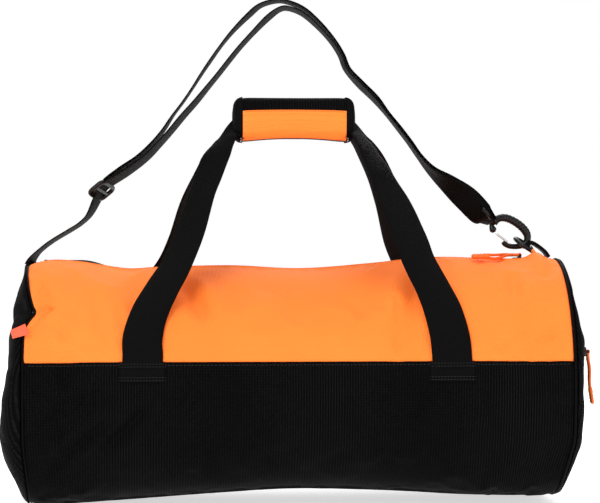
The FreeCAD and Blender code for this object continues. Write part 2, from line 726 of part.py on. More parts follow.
def strap_point(point, lift=0.0):
    """A point of the strap's plane above (x, z), lifted towards the front."""
    normal = strap_plane()
    offset = vec(point.x, 0, point.y) - ANCHOR_POINT
    y = ANCHOR_POINT.y - (offset.x * normal.x + offset.z * normal.z) / normal.y
    return vec(point.x, y, point.y) + normal * lift


def strap_frame(point, along):
    """A frame on the strap's plane: x along it, z towards the front."""
    start = strap_point(point)
    x_axis = (strap_point(point + along) - start).normalize()
    normal = strap_plane()
    turn = FreeCAD.Rotation(x_axis, normal.cross(x_axis), normal, "ZXY")
    return FreeCAD.Placement(start, turn)


def make_strap():
    """Doubled webbing from the hook to the adjuster, single to the left end."""
    thickness = dim("webbing_thickness")
    layers = []
    for run, half_widths, middle in ((LOWER_RUN, LOWER_HALF_WIDTHS, dim("layer_offset")),
                                     (UPPER_RUN, UPPER_HALF_WIDTHS, -dim("layer_offset"))):
        outline = ribbon([vec(x, z) for x, z in run], half_widths)
        low = middle - thickness / 2
        layers.append(plate(outline, lambda p: strap_point(p, low), strap_plane() * thickness))
    frame = hook_frame()
    half_width = dim("strap_width") / 2
    depth = dim("layer_offset") + thickness / 2
    fold = Part.makeBox(thickness, 2 * half_width, 2 * depth)
    fold.translate(vec(dim("fold_distance"), -half_width, -depth))
    fold.Placement = frame.multiply(fold.Placement)
    webbing = doc.addObject("Part::Feature", "shoulder_strap_webbing")
    webbing.Shape = layers[0].fuse([layers[1], fold])
    keep(webbing, "shoulder_strap_webbing")
    make_adjuster()


def adjuster_frame():
    along = vec(-139.5, 354) - vec(-205, 299)
    return strap_frame(vec(-192, 309.9), along.normalize())


def make_adjuster():
    """The sliding adjuster: two side rails, two rear bars and a front bar."""
    frame = adjuster_frame()
    inside = "strap_width / 2 + 0.5"
    outside = "strap_width / 2 + 4"
    gap = dim("layer_offset") + dim("webbing_thickness") / 2 + 0.4
    reach = gap + 2
    pieces = []
    for name, low, high in (("near", f"0 - ({outside})", f"0 - ({inside})"),
                            ("far", inside, outside)):
        pieces.append(box(f"adjuster_rail_{name}", ("0 - 13", low, f"{-reach}"),
                          ("13", high, f"{reach}"), frame))
    for name, start in (("left", -13), ("right", 9)):
        pieces.append(box(f"adjuster_bar_{name}", (f"{start}", f"0 - ({outside})", f"{-reach}"),
                          (f"{start + 4}", outside, f"{-gap}"), frame))
    pieces.append(box("adjuster_bar_front", ("0 - 2.5", f"0 - ({outside})", f"{gap}"),
                      ("2.5", outside, f"{reach}"), frame))
    keep(fuse("strap_adjuster", *pieces), "strap_adjuster")


def hook_frame():
    """Middle of the hook's curve, x towards the strap, z towards the front."""
    return strap_frame(HOOK_MIDDLE, HOOK_AXIS)


def make_hook():
    """Swivel snap hook: swivel loop, hook with its stud, and wire gate."""
    frame = hook_frame()
    half = dim("hook_thickness") / 2
    up = vec(0, 0, 1)
    outer = rod("hook_outer", "hook_radius + hook_band / 2", "hook_thickness",
                vec(0, 0, -half), up, frame)
    inner = rod("hook_inner", "hook_radius - hook_band / 2", "hook_thickness + 2",
                vec(0, 0, -half - 1), up, frame)
    mouth = box("hook_mouth", ("0 - 30", "9", "0 - 5"), ("30", "30", "5"), frame)
    neck = box("hook_neck", ("hook_radius - 2", "0 - 5", "0 - hook_thickness / 2"),
               ("hook_radius + 5.5", "5", "hook_thickness / 2"), frame)
    nose = rod("hook_nose", "2.6", "hook_thickness", vec(-7, 7.5, -half), up, frame)
    stud = rod("hook_stud", "stud_radius", "10.4", vec(19, 0, 0), vec(1, 0, 0), frame)
    head = rod("hook_stud_head", "stud_radius + 1.1", "1.6", vec(29.3, 0, 0), vec(1, 0, 0), frame)
    curve = cut("hook_curve", cut("hook_ring", outer, inner), mouth)
    solid = fuse("hook_solid", curve, neck, nose, stud, head)
    pivot = vec(12.5, 6, 0)
    pivot_hole = rod("hook_pivot_hole", "gate_wire + running_clearance", "12", pivot - up * 6, up, frame)
    keep(cut("right_hook_body", solid, pivot_hole), "right_hook_body")

    level = half + 0.3 + dim("gate_wire")
    tip = vec(-3.2, 7, 0)
    wires = []
    for side in (-1, 1):
        height = up * (side * level)
        along = tip - pivot
        wires.append(rod(f"gate_arm_{side + 1}", "gate_wire", f"{along.Length}",
                         pivot + height, along, frame))
        wires.append(rod(f"gate_foot_{side + 1}", "gate_wire", f"{level - 1}",
                         pivot + height, up * -side, frame))
    wires.append(rod("gate_bar", "gate_wire", f"{2 * level}", tip - up * level, up, frame))
    keep(fuse("right_hook_gate", *wires), "right_hook_gate")

    collar = rod("swivel_collar", "5.2", "7", vec(20.3, 0, 0), vec(1, 0, 0), frame)
    wall = box("swivel_wall", ("swivel_start", "0 - swivel_outside", "0 - 3"),
               ("swivel_start + 3.1", "swivel_outside", "3"), frame)
    bar = box("swivel_bar", ("swivel_reach - 3.5", "0 - swivel_outside", "0 - 1.2"),
              ("swivel_reach", "swivel_outside", "1.2"), frame)
    rails = []
    for name, low, high in (("near", "0 - swivel_outside", "0 - swivel_inside"),
                            ("far", "swivel_inside", "swivel_outside")):
        rails.append(box(f"swivel_rail_{name}", ("swivel_start", low, "0 - 3"),
                         ("swivel_reach", high, "3"), frame))
    loop = fuse("swivel_solid", collar, wall, bar, *rails)
    bore = rod("swivel_bore", "stud_radius + running_clearance", "12",
               vec(19, 0, 0), vec(1, 0, 0), frame)
    keep(cut("right_hook_swivel_loop", loop, bore), "right_hook_swivel_loop")


def ring_frame():
    """Middle of the D-ring's bar, x towards its round side, y along the bar."""
    frame = hook_frame()
    contact = dim("hook_radius") - dim("hook_band") / 2 - dim("ring_wire")
    contact -= dim("ring_clearance")
    bar = shifted(frame, -contact - dim("ring_reach"))
    return bar.multiply(FreeCAD.Placement(vec(0, 0, 0), FreeCAD.Rotation(vec(1, 0, 0), 90)))


def make_ring():
    """The D-ring that the hook is clipped to, and the webbing tab that holds it."""
    frame = ring_frame()
    half = dim("ring_inner_width") / 2 + dim("ring_wire")
    straight = dim("ring_reach") - half
    wire = "ring_wire"
    bend = doc.addObject("Part::Torus", "ring_bend")
    bend.setExpression("Radius1", named("ring_inner_width / 2 + ring_wire"))
    bend.setExpression("Radius2", named(wire))
    bend.Angle3 = 180
    bend.Placement = shifted(frame, straight).multiply(
        FreeCAD.Placement(vec(0, 0, 0), FreeCAD.Rotation(vec(0, 0, 1), -90)))
    pieces = [bend]
    for side in (-1, 1):
        corner = vec(0, side * half, 0)
        pieces.append(rod(f"ring_leg_{side + 1}", wire, f"{straight}", corner, vec(1, 0, 0), frame))
        ball = doc.addObject("Part::Sphere", f"ring_corner_{side + 1}")
        ball.setExpression("Radius", named(wire))
        ball.Placement = shifted(frame, 0, side * half)
        pieces.append(ball)
    pieces.append(rod("ring_bar", wire, f"{2 * half}", vec(0, -half, 0), vec(0, 1, 0), frame))
    keep(fuse("right_d_ring", *pieces), "right_d_ring")

    make_ring_tab(frame)
    make_strap_anchor()


def make_ring_tab(frame):
    """The tab sewn to the bag: a sleeve round the ring's bar on a stem and a foot."""
    bar = frame.Base
    sleeve_half = dim("ring_inner_width") / 2 - 1.5
    along = frame.Rotation.multVec(vec(0, 1, 0))
    sleeve = rod("tab_sleeve", "ring_wire + 1.8", f"{2 * sleeve_half}",
                 bar - along * sleeve_half, along)
    bore = rod("tab_bore", "ring_wire + running_clearance", f"{2 * sleeve_half + 8}",
               bar - along * (sleeve_half + 4), along)
    tube = cut("tab_tube", sleeve, bore)
    upright = FreeCAD.Placement(vec(bar.x, bar.y, 0), FreeCAD.Rotation())
    width = sleeve_half - 1
    ground = surface_height(bar.y - width) + 0.4
    stem_top = bar.z - dim("ring_wire") - 0.6 - abs(along.z) * width
    stem = box("tab_stem", ("0.6", f"{-width}", f"{ground}"),
               ("2.8", f"{width}", f"{stem_top}"), upright)
    foot = box("tab_foot", ("0.6", f"{-width}", f"{ground}"),
               ("13", f"{width}", f"{ground + 1.8}"), upright)
    keep(fuse("right_d_ring_tab", tube, stem, foot), "right_d_ring_tab")


def make_strap_anchor():
    """The patch that holds the strap's left end to the bag."""
    rise = ANCHOR_POINT.z - dim("barrel_centre_height")
    outward = vec(0, ANCHOR_POINT.y, rise).normalize()
    turn = FreeCAD.Rotation(vec(1, 0, 0), outward.cross(vec(1, 0, 0)), outward, "ZXY")
    centre = vec(0, 0, dim("barrel_centre_height")) + outward * dim("barrel_radius")
    rest = FreeCAD.Placement(centre, turn)
    keep(box("left_strap_anchor", ("0 - barrel_half_length - 6", "0 - strap_width / 2", "0.2"),
             ("0 - barrel_half_length + 16", "strap_width / 2", "1.7"), rest), "left_strap_anchor")


# ---------------------------------------------------------------- output

def check_and_write():
    """Stop at any failed object, then write one STEP file for each sub-part."""
    doc.recompute()
    for obj in doc.Objects:
        if "Invalid" in obj.State or "Error" in obj.State:
            raise RuntimeError(f"{obj.Name} failed: {obj.State}")
    os.makedirs("parts", exist_ok=True)
    for label, obj in nodes.items():
        shape = obj.Shape
        if shape.isNull() or not shape.isValid():
            raise RuntimeError(f"{label} has no valid shape")
        shape.exportStep(f"parts/{label}.step")
        bounds = shape.BoundBox
        print(f"{label:28s} solids {len(shape.Solids)} volume {shape.Volume / 1000:9.2f} cm3 "
              f"x {bounds.XMin:7.1f} {bounds.XMax:7.1f} y {bounds.YMin:7.1f} {bounds.YMax:7.1f} "
              f"z {bounds.ZMin:6.1f} {bounds.ZMax:6.1f}")


make_barrel()
make_ends()
make_zips()
make_handles()
make_strap()
make_hook()
make_ring()
check_and_write()
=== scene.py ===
"""Looks of the barrel duffel: soft fabric shell, webbing, padded grip, zips and hardware."""

import math

import bmesh
import bpy
import numpy as np
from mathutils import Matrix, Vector, noise


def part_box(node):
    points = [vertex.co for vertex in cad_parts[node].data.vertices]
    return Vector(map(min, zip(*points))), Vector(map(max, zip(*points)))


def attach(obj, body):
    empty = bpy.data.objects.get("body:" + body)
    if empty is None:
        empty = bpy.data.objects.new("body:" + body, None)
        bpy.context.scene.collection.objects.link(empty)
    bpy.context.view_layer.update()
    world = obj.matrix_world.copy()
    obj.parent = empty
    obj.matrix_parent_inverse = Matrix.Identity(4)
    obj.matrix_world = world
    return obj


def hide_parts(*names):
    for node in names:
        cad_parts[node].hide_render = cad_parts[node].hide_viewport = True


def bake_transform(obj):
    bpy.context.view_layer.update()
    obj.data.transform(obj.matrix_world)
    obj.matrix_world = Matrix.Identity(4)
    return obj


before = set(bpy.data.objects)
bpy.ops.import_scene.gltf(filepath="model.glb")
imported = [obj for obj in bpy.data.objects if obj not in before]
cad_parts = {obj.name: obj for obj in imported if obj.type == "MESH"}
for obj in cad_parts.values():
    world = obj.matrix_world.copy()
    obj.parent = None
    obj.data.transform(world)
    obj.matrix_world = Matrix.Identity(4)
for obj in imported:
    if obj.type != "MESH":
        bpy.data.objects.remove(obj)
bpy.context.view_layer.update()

# Lengths are in millimetres, except where a Blender object needs metres.
MM = 0.001


def corners(node):
    """Lowest and highest corner of a CAD node."""
    low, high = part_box(node)
    return low / MM, high / MM


def centre_of(node):
    low, high = corners(node)
    return np.array([(a + b) / 2 for a, b in zip(low, high)])


RADIUS = corners("base_panel")[1].y
HALF_LENGTH = corners("base_panel")[1].x + 3.6
CENTRE = corners("left_end_panel")[1].z - RADIUS
CAD_SEAM_HEIGHT = corners("base_panel")[1].z
SEAM_HEIGHT = CAD_SEAM_HEIGHT + 6.5
SIDE_RADIUS = 300.0
CORNER_RADIUS = 50.0

PANEL_THICKNESS = 1.2
END_THICKNESS = 1.3
TAPE_THICKNESS = 0.7
WEBBING_THICKNESS = 1.7
STRAP_THICKNESS = 1.4
PIPING_RADIUS = 1.7


def add_object(name, data):
    obj = bpy.data.objects.new(name, data)
    bpy.context.scene.collection.objects.link(obj)
    return obj


# ------------------------------------------------------ camera and stage

CAMERA_TARGET = Vector((0.0065, 0, 0.2485))
CAMERA_DISTANCE = 2.5
CAMERA_SIDEWAYS = math.radians(3.6)
CAMERA_RISE = math.radians(0.6)

# Name, place, target, size and power.
LIGHTS = [("key", (-1.6, -2.4, 1.9), (0, 0, 0.2), 1.6, 44),
          ("fill", (2.2, -2.0, 1.2), (0, 0, 0.2), 2.0, 22),
          ("top", (0, 0.3, 2.6), (0, 0, 0.2), 2.4, 30),
          ("back", (0.4, 2.0, 1.6), (0, 0, 0.5), 1.8, 20)]
FLOOR_REACH = 30.0
FLOOR_GLOW = 0.62
SKY_LIGHT = 0.42


def aim(obj, target):
    direction = Vector(target) - obj.location
    obj.rotation_euler = direction.to_track_quat("-Z", "Y").to_euler()


def make_camera():
    """A long lens, nearly level, a little to the left of the bag's middle."""
    camera = add_object("camera", bpy.data.cameras.new("camera"))
    camera.data.lens = 150
    camera.data.sensor_width = 36
    level = CAMERA_DISTANCE * math.cos(CAMERA_RISE)
    camera.location = CAMERA_TARGET + Vector((
        -level * math.sin(CAMERA_SIDEWAYS), -level * math.cos(CAMERA_SIDEWAYS),
        CAMERA_DISTANCE * math.sin(CAMERA_RISE)))
    aim(camera, CAMERA_TARGET)
    bpy.context.scene.camera = camera


def make_stage():
    """A wide pale floor under a white sky, and soft lights round the bag."""
    mesh = bpy.data.meshes.new("floor")
    mesh.from_pydata([(x * FLOOR_REACH, y * FLOOR_REACH, 0) for x, y in ((-1, -1), (1, -1), (1, 1), (-1, 1))],
                     [], [(0, 1, 2, 3)])
    floor = add_object("floor", mesh)
    paper = Finish("stage_paper", (0.93, 0.93, 0.93), 0.9)
    paper.vary((0.9, 0.9, 0.9), scale=3, amount=0.15)
    paper.glow((1, 1, 1), FLOOR_GLOW)
    mesh.materials.append(paper.material)

    for name, place, target, size, power in LIGHTS:
        light = add_object(name, bpy.data.lights.new(name, "AREA"))
        light.data.size = size
        light.data.energy = power
        light.location = place
        aim(light, target)

    # The sky is seen full white, but lights the bag with less.
    world = bpy.data.worlds.new("world")
    world.use_nodes = True
    tree = world.node_tree
    sky = tree.nodes["Background"].inputs
    sky["Color"].default_value = (1, 1, 1, 1)
    dim = tree.nodes.new("ShaderNodeMath")
    dim.operation = "MULTIPLY_ADD"
    dim.inputs[1].default_value = 1 - SKY_LIGHT
    dim.inputs[2].default_value = SKY_LIGHT
    tree.links.new(tree.nodes.new("ShaderNodeLightPath").outputs["Is Camera Ray"], dim.inputs[0])
    tree.links.new(dim.outputs[0], sky["Strength"])
    bpy.context.scene.world = world
    bpy.context.scene.view_settings.view_transform = "Standard"


# ------------------------------------------------------------- materials

class Finish:
    """A Principled material that is given weave, grain, variation and bump step by step."""

    def __init__(self, name, colour, roughness, metallic=0.0, sheen=0.0, coat=0.0, specular=0.5):
        self.material = bpy.data.materials.new(name)
        self.material.use_nodes = True
        self.tree = self.material.node_tree
        self.shader = self.tree.nodes["Principled BSDF"]
        self.set(self.shader, {
            "Base Color": (*colour, 1), "Roughness": roughness, "Metallic": metallic,
            "Specular IOR Level": specular, "Sheen Weight": sheen, "Sheen Roughness": 0.4,
            "Coat Weight": coat})
        self.place = self.node("ShaderNodeTexCoord").outputs
        self.colour = None
        self.normal = None

    def set(self, node, inputs):
        """Give a node's inputs values, or link them to another node's output."""
        for key, value in inputs.items():
            if isinstance(value, bpy.types.NodeSocket):
                self.tree.links.new(value, node.inputs[key])
            else:
                node.inputs[key].default_value = value

    def node(self, kind, inputs=None, **settings):
        made = self.tree.nodes.new(kind)
        for key, value in settings.items():
            setattr(made, key, value)
        self.set(made, inputs or {})
        return made

    def glow(self, colour, strength):
        self.set(self.shader, {"Emission Color": (*colour, 1), "Emission Strength": strength})

    def blend(self, factor, other):
        """Mix the colour so far with another one."""
        if self.colour is None:
            start = self.node("ShaderNodeRGB")
            start.outputs[0].default_value = self.shader.inputs["Base Color"].default_value
            self.colour = start.outputs[0]
        mix = self.node("ShaderNodeMix", data_type="RGBA")
        self.set(mix, {0: factor, 6: self.colour, 7: (*other, 1)})
        self.colour = mix.outputs[2]
        self.set(self.shader, {"Base Color": self.colour})

    def scaled(self, output, factor, offset=0.0):
        return self.node("ShaderNodeMath", {0: output, 1: factor, 2: offset},
                         operation="MULTIPLY_ADD", use_clamp=True).outputs[0]

    def product(self, first, second):
        return self.node("ShaderNodeMath", {0: first, 1: second}, operation="MULTIPLY").outputs[0]

    def noise(self, scale):
        return self.node("ShaderNodeTexNoise", {
            "Scale": scale, "Detail": 3.0, "Vector": self.place["Object"]}).outputs["Fac"]

    def bands(self, direction, period, distortion=0.0):
        """Even ribs across the cloth's own length or width."""
        return self.node("ShaderNodeTexWave", {
            "Scale": math.pi / (10 * period * MM), "Distortion": distortion, "Detail": 0,
            "Vector": self.place["UV"]}, bands_direction=direction).outputs["Fac"]

    def bump(self, height, depth):
        """Relief of a given depth, on top of any relief before it."""
        made = self.node("ShaderNodeBump", {"Strength": 1.0, "Distance": depth * MM, "Height": height})
        if self.normal is not None:
            self.set(made, {"Normal": self.normal})
        self.normal = made.outputs["Normal"]
        self.set(self.shader, {"Normal": self.normal})

    def vary(self, other, scale=25.0, amount=0.5):
        """Slow drift of the colour, as from handling and dye."""
        self.blend(self.scaled(self.noise(scale), amount), other)

    def shine(self, scale, low, high):
        """Roughness that wanders between two values, as on a worn surface."""
        spread = self.node("ShaderNodeMapRange", {"To Min": low, "To Max": high, "Value": self.noise(scale)})
        self.set(self.shader, {"Roughness": spread.outputs[0]})


def ribbed_fabric(name, colour, thread, shade, glow=(0, 0, 0)):
    """Coated ripstop: fine cross ribs with a raised grid; glow is painted light, a red emission that keeps
    the shaded cloth a saturated red.
    """
    cloth = Finish(name, colour, 0.68, sheen=0.02, specular=0.2)
    weave = cloth.product(cloth.bands("Y", 2.1, 0.4), cloth.bands("X", 1.3, 0.3))
    cloth.blend(cloth.scaled(weave, 0.7), thread)
    cloth.vary(shade, 14, 0.6)
    cloth.vary(shade, 900, 0.3)
    cloth.bump(weave, 0.4)
    cloth.bump(cloth.noise(420), 0.2)
    # Painted light: this red emission stands in for bright red light where the fabric is in shade.
    cloth.glow(glow, 1.0)
    return cloth.material


def dobby_fabric(name, colour, thread, shade, roughness=0.74):
    """Black polyester with small raised cells in upright rows."""
    cloth = Finish(name, colour, roughness, specular=0.05)
    cells = cloth.node("ShaderNodeTexVoronoi", {
        "Scale": 390, "Randomness": 0.25, "Vector": cloth.place["UV"]}, feature="F1")
    pattern = cloth.product(cells.outputs["Distance"], cloth.bands("X", 2.6, 0.6))
    cloth.blend(cloth.scaled(pattern, 2.6, -0.45), thread)
    cloth.vary(shade, 11, 0.35)
    cloth.bump(pattern, 0.5)
    cloth.bump(cloth.noise(650), 0.1)
    cloth.shine(40, roughness - 0.1, roughness + 0.12)
    return cloth.material


def woven(name, colour, thread, roughness=0.6):
    """Woven strap: ribs along the length crossed by a fine pick."""
    cloth = Finish(name, colour, roughness, specular=0.05)
    weave = cloth.product(cloth.bands("X", 2.4, 0.2), cloth.bands("Y", 1.5, 0.8))
    cloth.blend(cloth.scaled(weave, 0.5), thread)
    cloth.vary(colour, 60, 0.4)
    cloth.bump(weave, 0.35)
    cloth.bump(cloth.noise(800), 0.12)
    return cloth.material


def moulded(name, colour, other, roughness, grain=240, coat=0.0, metallic=0.0, depth=0.12):
    """Moulded plastic or coated metal: fine grain, uneven gloss, a little wear."""
    part = Finish(name, colour, roughness, metallic=metallic, coat=coat, specular=0.25)
    part.vary(other, 55, 0.5)
    part.vary(other, grain, 0.25)
    part.bump(part.noise(grain * 2), depth)
    part.shine(grain, max(roughness - 0.12, 0.05), min(roughness + 0.12, 1))
    return part.material


def sewn(name, colour, other):
    """Twisted sewing thread or cord."""
    thread = Finish(name, colour, 0.6, specular=0.2)
    thread.vary(other, 700, 0.6)
    thread.bump(thread.noise(2600), 0.15)
    return thread.material


MATERIALS = {}


def make_materials():
    MATERIALS.update({
        # The orange fabric's red glow is painted light that keeps its shaded parts a saturated red.
        "orange": ribbed_fabric("orange_fabric", (0.97, 0.28, 0.04), (1.0, 0.36, 0.075),
                                (0.9, 0.2, 0.02), glow=(0.27, 0.008, 0)),
        "black": dobby_fabric("black_fabric", (0.0004, 0.0003, 0.0003), (0.0085, 0.0076, 0.008),
                              (0.0002, 0.0002, 0.0002)),
        "lining": ribbed_fabric("lining", (0.02, 0.02, 0.022), (0.05, 0.05, 0.052),
                                (0.012, 0.012, 0.013)),
        "webbing": woven("black_webbing", (0.0017, 0.0014, 0.0014), (0.009, 0.008, 0.0082)),
        "tape": woven("zip_tape", (0.002, 0.0019, 0.002), (0.01, 0.0096, 0.01), 0.7),
        "coral": woven("coral_ribbon", (0.95, 0.14, 0.07), (1.0, 0.26, 0.16), 0.55),
        "hook_tape": woven("hook_tape", (0.006, 0.006, 0.007), (0.012, 0.012, 0.013), 0.9),
        "teeth": moulded("zip_teeth", (0.008, 0.008, 0.009), (0.03, 0.03, 0.03), 0.35),
        "foam": moulded("foam", (0.012, 0.012, 0.013), (0.008, 0.008, 0.009), 0.95, grain=500),
        "board": moulded("board", (0.11, 0.1, 0.09), (0.07, 0.065, 0.06), 0.8, grain=120),
        "black_metal": moulded("black_metal", (0.003, 0.003, 0.003), (0.01, 0.01, 0.01), 0.3,
                               coat=0.1, metallic=0.3, depth=0.04),
        "black_plastic": moulded("black_plastic", (0.002, 0.0018, 0.0018), (0.007, 0.006, 0.006),
                                 0.32, coat=0.08, depth=0.05),
        "orange_moulding": moulded("orange_moulding", (0.98, 0.17, 0.02), (0.85, 0.12, 0.012),
                                   0.42, coat=0.15, depth=0.06),
        "wire": moulded("spring_wire", (0.72, 0.73, 0.75), (0.5, 0.5, 0.52), 0.22, metallic=1.0,
                        depth=0.02),
        "cord": sewn("orange_cord", (0.95, 0.16, 0.018), (0.75, 0.09, 0.01)),
        "black_thread": sewn("black_thread", (0.008, 0.0078, 0.008), (0.02, 0.02, 0.021)),
        "pale_thread": sewn("pale_thread", (0.75, 0.73, 0.7), (0.5, 0.48, 0.45)),
    })


# -------------------------------------------------------- mesh building

def finish_piece(obj, body, finish, slot, *nodes):
    """Colour a piece, tie it to its body (None: it stays free of any body), and hide the CAD nodes it stands
    in for.
    """
    obj.data.materials.append(MATERIALS[finish])
    if body:
        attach(obj, body)
    if nodes:
        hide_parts(*nodes)


def add_mesh(name, points, faces, uvs=None):
    """A smooth mesh; uvs are millimetres of cloth."""
    mesh = bpy.data.meshes.new(name)
    mesh.from_pydata(np.asarray(points, float) * MM, [], faces)
    build = bmesh.new()
    build.from_mesh(mesh)
    bmesh.ops.recalc_face_normals(build, faces=build.faces)
    build.to_mesh(mesh)
    build.free()
    if uvs is not None:
        layer = mesh.uv_layers.new(name="cloth")
        index = np.empty(len(mesh.loops), int)
        mesh.loops.foreach_get("vertex_index", index)
        layer.data.foreach_set("uv", (np.asarray(uvs, float) * MM)[index].ravel())
    mesh.polygons.foreach_set("use_smooth", [True] * len(mesh.polygons))
    mesh.update()
    return add_object(name, mesh)


def quads(rows, columns, start=0, wrap_rows=False, wrap_columns=False, flip=False):
    """Faces of a grid of points."""
    faces = []
    for i in range(rows if wrap_rows else rows - 1):
        for j in range(columns if wrap_columns else columns - 1):
            a = start + i * columns + j
            b = start + i * columns + (j + 1) % columns
            c = start + (i + 1) % rows * columns + (j + 1) % columns
            d = start + (i + 1) % rows * columns + j
            faces.append((a, d, c, b) if flip else (a, b, c, d))
    return faces


def unit(vectors):
    return vectors / np.maximum(np.linalg.norm(vectors, axis=-1, keepdims=True), 1e-9)


def grid_normals(points):
    """Unit normals of a grid of points."""
    return unit(np.cross(np.gradient(points, axis=0), np.gradient(points, axis=1)))


def run_along(points):
    """Distance of each point from the start of its line."""
    return np.concatenate([[0], np.cumsum(np.linalg.norm(np.diff(points, axis=0), axis=1))])


def catmull_rom(a, b, c, d, t):
    return 0.5 * (2 * b + (c - a) * t + (2 * a - 5 * b + 4 * c - d) * t ** 2
                  + (3 * b - a - 3 * c + d) * t ** 3)


def smooth_line(points, count):
    """Evenly indexed points of a Catmull-Rom curve through rows of numbers."""
    points = np.asarray(points, float)
    padded = np.concatenate([2 * points[:1] - points[1:2], points, 2 * points[-1:] - points[-2:-1]])
    where = np.linspace(0, len(points) - 1, count)
    index = np.minimum(where.astype(int), len(points) - 2)
    return catmull_rom(*(padded[index + k] for k in range(4)), (where - index)[:, None])


def through(x, knots):
    """A smooth curve through (position, value) pairs."""
    line = smooth_line(knots, 12 * len(knots))
    return np.interp(x, line[:, 0], line[:, 1])


def ramp(value, start, end):
    """Smooth step from 0 at start to 1 at end."""
    t = np.clip((np.asarray(value, float) - start) / (end - start), 0, 1)
    return t * t * (3 - 2 * t)


def thick_sheet(name, points, inward, thickness, uv_rows, uv_columns):
    """A closed sheet of cloth: a grid of points, its inner face, and the edges between."""
    rows, columns = points.shape[:2]
    inner = points + inward * thickness
    count = rows * columns
    faces = quads(rows, columns) + quads(rows, columns, count, flip=True)
    border = [(0, j) for j in range(columns)] + [(i, columns - 1) for i in range(1, rows)]
    border += [(rows - 1, j) for j in range(columns - 2, -1, -1)]
    border += [(i, 0) for i in range(rows - 2, 0, -1)]
    for (i, j), (k, l) in zip(border, border[1:] + border[:1]):
        a, b = i * columns + j, k * columns + l
        faces.append((b, a, a + count, b + count))
    uvs = np.stack(np.meshgrid(uv_columns, uv_rows), axis=2).reshape(-1, 2)
    return add_mesh(name, np.concatenate([points.reshape(-1, 3), inner.reshape(-1, 3)]), faces,
                    np.concatenate([uvs, uvs]))


def skin(name, rings, closed=False, uvs=None):
    """A surface over rings of points, with flat ends unless it closes on itself."""
    rows, columns = rings.shape[:2]
    faces = quads(rows, columns, wrap_rows=closed, wrap_columns=True)
    if not closed:
        faces += [tuple(range(columns - 1, -1, -1)),
                  tuple((rows - 1) * columns + j for j in range(columns))]
    if uvs is not None:
        uvs = np.stack(np.broadcast_arrays(*uvs), axis=2).reshape(-1, 2)
    return add_mesh(name, rings.reshape(-1, 3), faces, uvs)


def ribbon(name, centres, faces_towards, half_widths, thickness, cup=0.4, across=10):
    """Webbing swept along a line, facing a given way at each point, with soft edges."""
    centres = np.asarray(centres, float)
    along = unit(np.gradient(centres, axis=0))
    side = unit(np.cross(faces_towards, along))
    face = np.cross(along, side)
    steps = np.linspace(-1, 1, across + 1)
    rounding = 0.5 * thickness * np.sqrt(1 - 0.82 * np.abs(steps) ** 8)
    offsets = np.array([(w, r - cup * w * w) for w, r in zip(steps, rounding)]
                       + [(w, -r - cup * w * w) for w, r in zip(steps[::-1], rounding[::-1])])
    rings = (centres[:, None] + side[:, None] * offsets[None, :, :1] * half_widths[:, None, None]
             + face[:, None] * offsets[None, :, 1:])
    return skin(name, rings, uvs=(offsets[None, :, 0] * half_widths[:, None],
                                  run_along(centres)[:, None]))


def tube(name, centres, radius, sides=10, closed=False):
    """A round cord along a line of points."""
    centres = np.asarray(centres, float)
    if closed:
        along = unit(np.roll(centres, -1, axis=0) - np.roll(centres, 1, axis=0))
        up = np.array([1.0, 0.0, 0.0])
    else:
        along = unit(np.gradient(centres, axis=0))
        up = np.array([0.13, 0.21, 0.97])
    side = unit(np.cross(np.broadcast_to(up, along.shape), along))
    top = np.cross(along, side)
    radii = np.broadcast_to(np.asarray(radius, float), (len(centres),))[:, None, None]
    turn = np.linspace(0, 2 * math.pi, sides, endpoint=False)
    rings = centres[:, None] + radii * (side[:, None] * np.cos(turn)[None, :, None]
                                        + top[:, None] * np.sin(turn)[None, :, None])
    return skin(name, rings, closed, uvs=(turn[None, :], run_along(centres)[:, None]))


def loft(name, stations, power=3.0, sides=20):
    """A moulded shape: rounded sections (centre, half width, half height) along a line."""
    rows = [[*centre, wide, high] for centre, wide, high in stations]
    fine = smooth_line(rows, 6 * len(rows))
    centres, sizes = fine[:, :3], np.maximum(fine[:, 3:], 0.15)
    along = unit(np.gradient(centres, axis=0))
    side = np.array([0.0, 1.0, 0.0])
    side = unit(side - along * np.sum(along * side, axis=1, keepdims=True))
    top = np.cross(along, side)
    turn = np.linspace(0, 2 * math.pi, sides, endpoint=False)
    c, s = (np.sign(wave) * np.abs(wave) ** (2 / power) for wave in (np.cos(turn), np.sin(turn)))
    return skin(name, centres[:, None] + side[:, None] * (sizes[:, :1] * c)[..., None]
                + top[:, None] * (sizes[:, 1:] * s)[..., None])


# A stitch's rings (place along it, width, height), and the corners of a ring.
STITCH_RINGS = [(-0.5, 0.35, 0.05), (-0.3, 1, 0.8), (0.3, 1, 0.8), (0.5, 0.35, 0.05)]
STITCH_CORNERS = [(-1, -0.3), (-0.6, 1), (0.6, 1), (1, -0.3)]


def stitches(name, lines, length=2.6, gap=1.1, width=0.75):
    """Rows of thread: each line is (points, outward directions), and each stitch a bead on it."""
    sink = 0.1
    points, faces = [], []
    for centres, outward in lines:
        run = run_along(centres)
        where = np.arange(gap, run[-1] - length, length + gap)
        start, end, up = (np.stack([np.interp(at, run, values[:, k]) for k in range(3)], axis=1)
                          for at, values in ((where, centres), (where + length, centres),
                                             (where + length / 2, outward)))
        along, up = unit(end - start), unit(up)
        side = np.cross(along, up)
        for a, b, t, n, s in zip(start, end, along, up, side):
            first = len(points)
            middle = (a + b) / 2 - n * sink
            for reach, wide, high in STITCH_RINGS:
                for x, y in STITCH_CORNERS:
                    points.append(middle + t * reach * length + (s * x * wide + n * y * high) * width / 2)
            faces += quads(4, 4, first, wrap_columns=True)
            faces += [tuple(first + k for k in (3, 2, 1, 0)), tuple(first + k for k in range(12, 16))]
    return add_mesh(name, points, faces)


# ------------------------------------------------------- shape of the bag

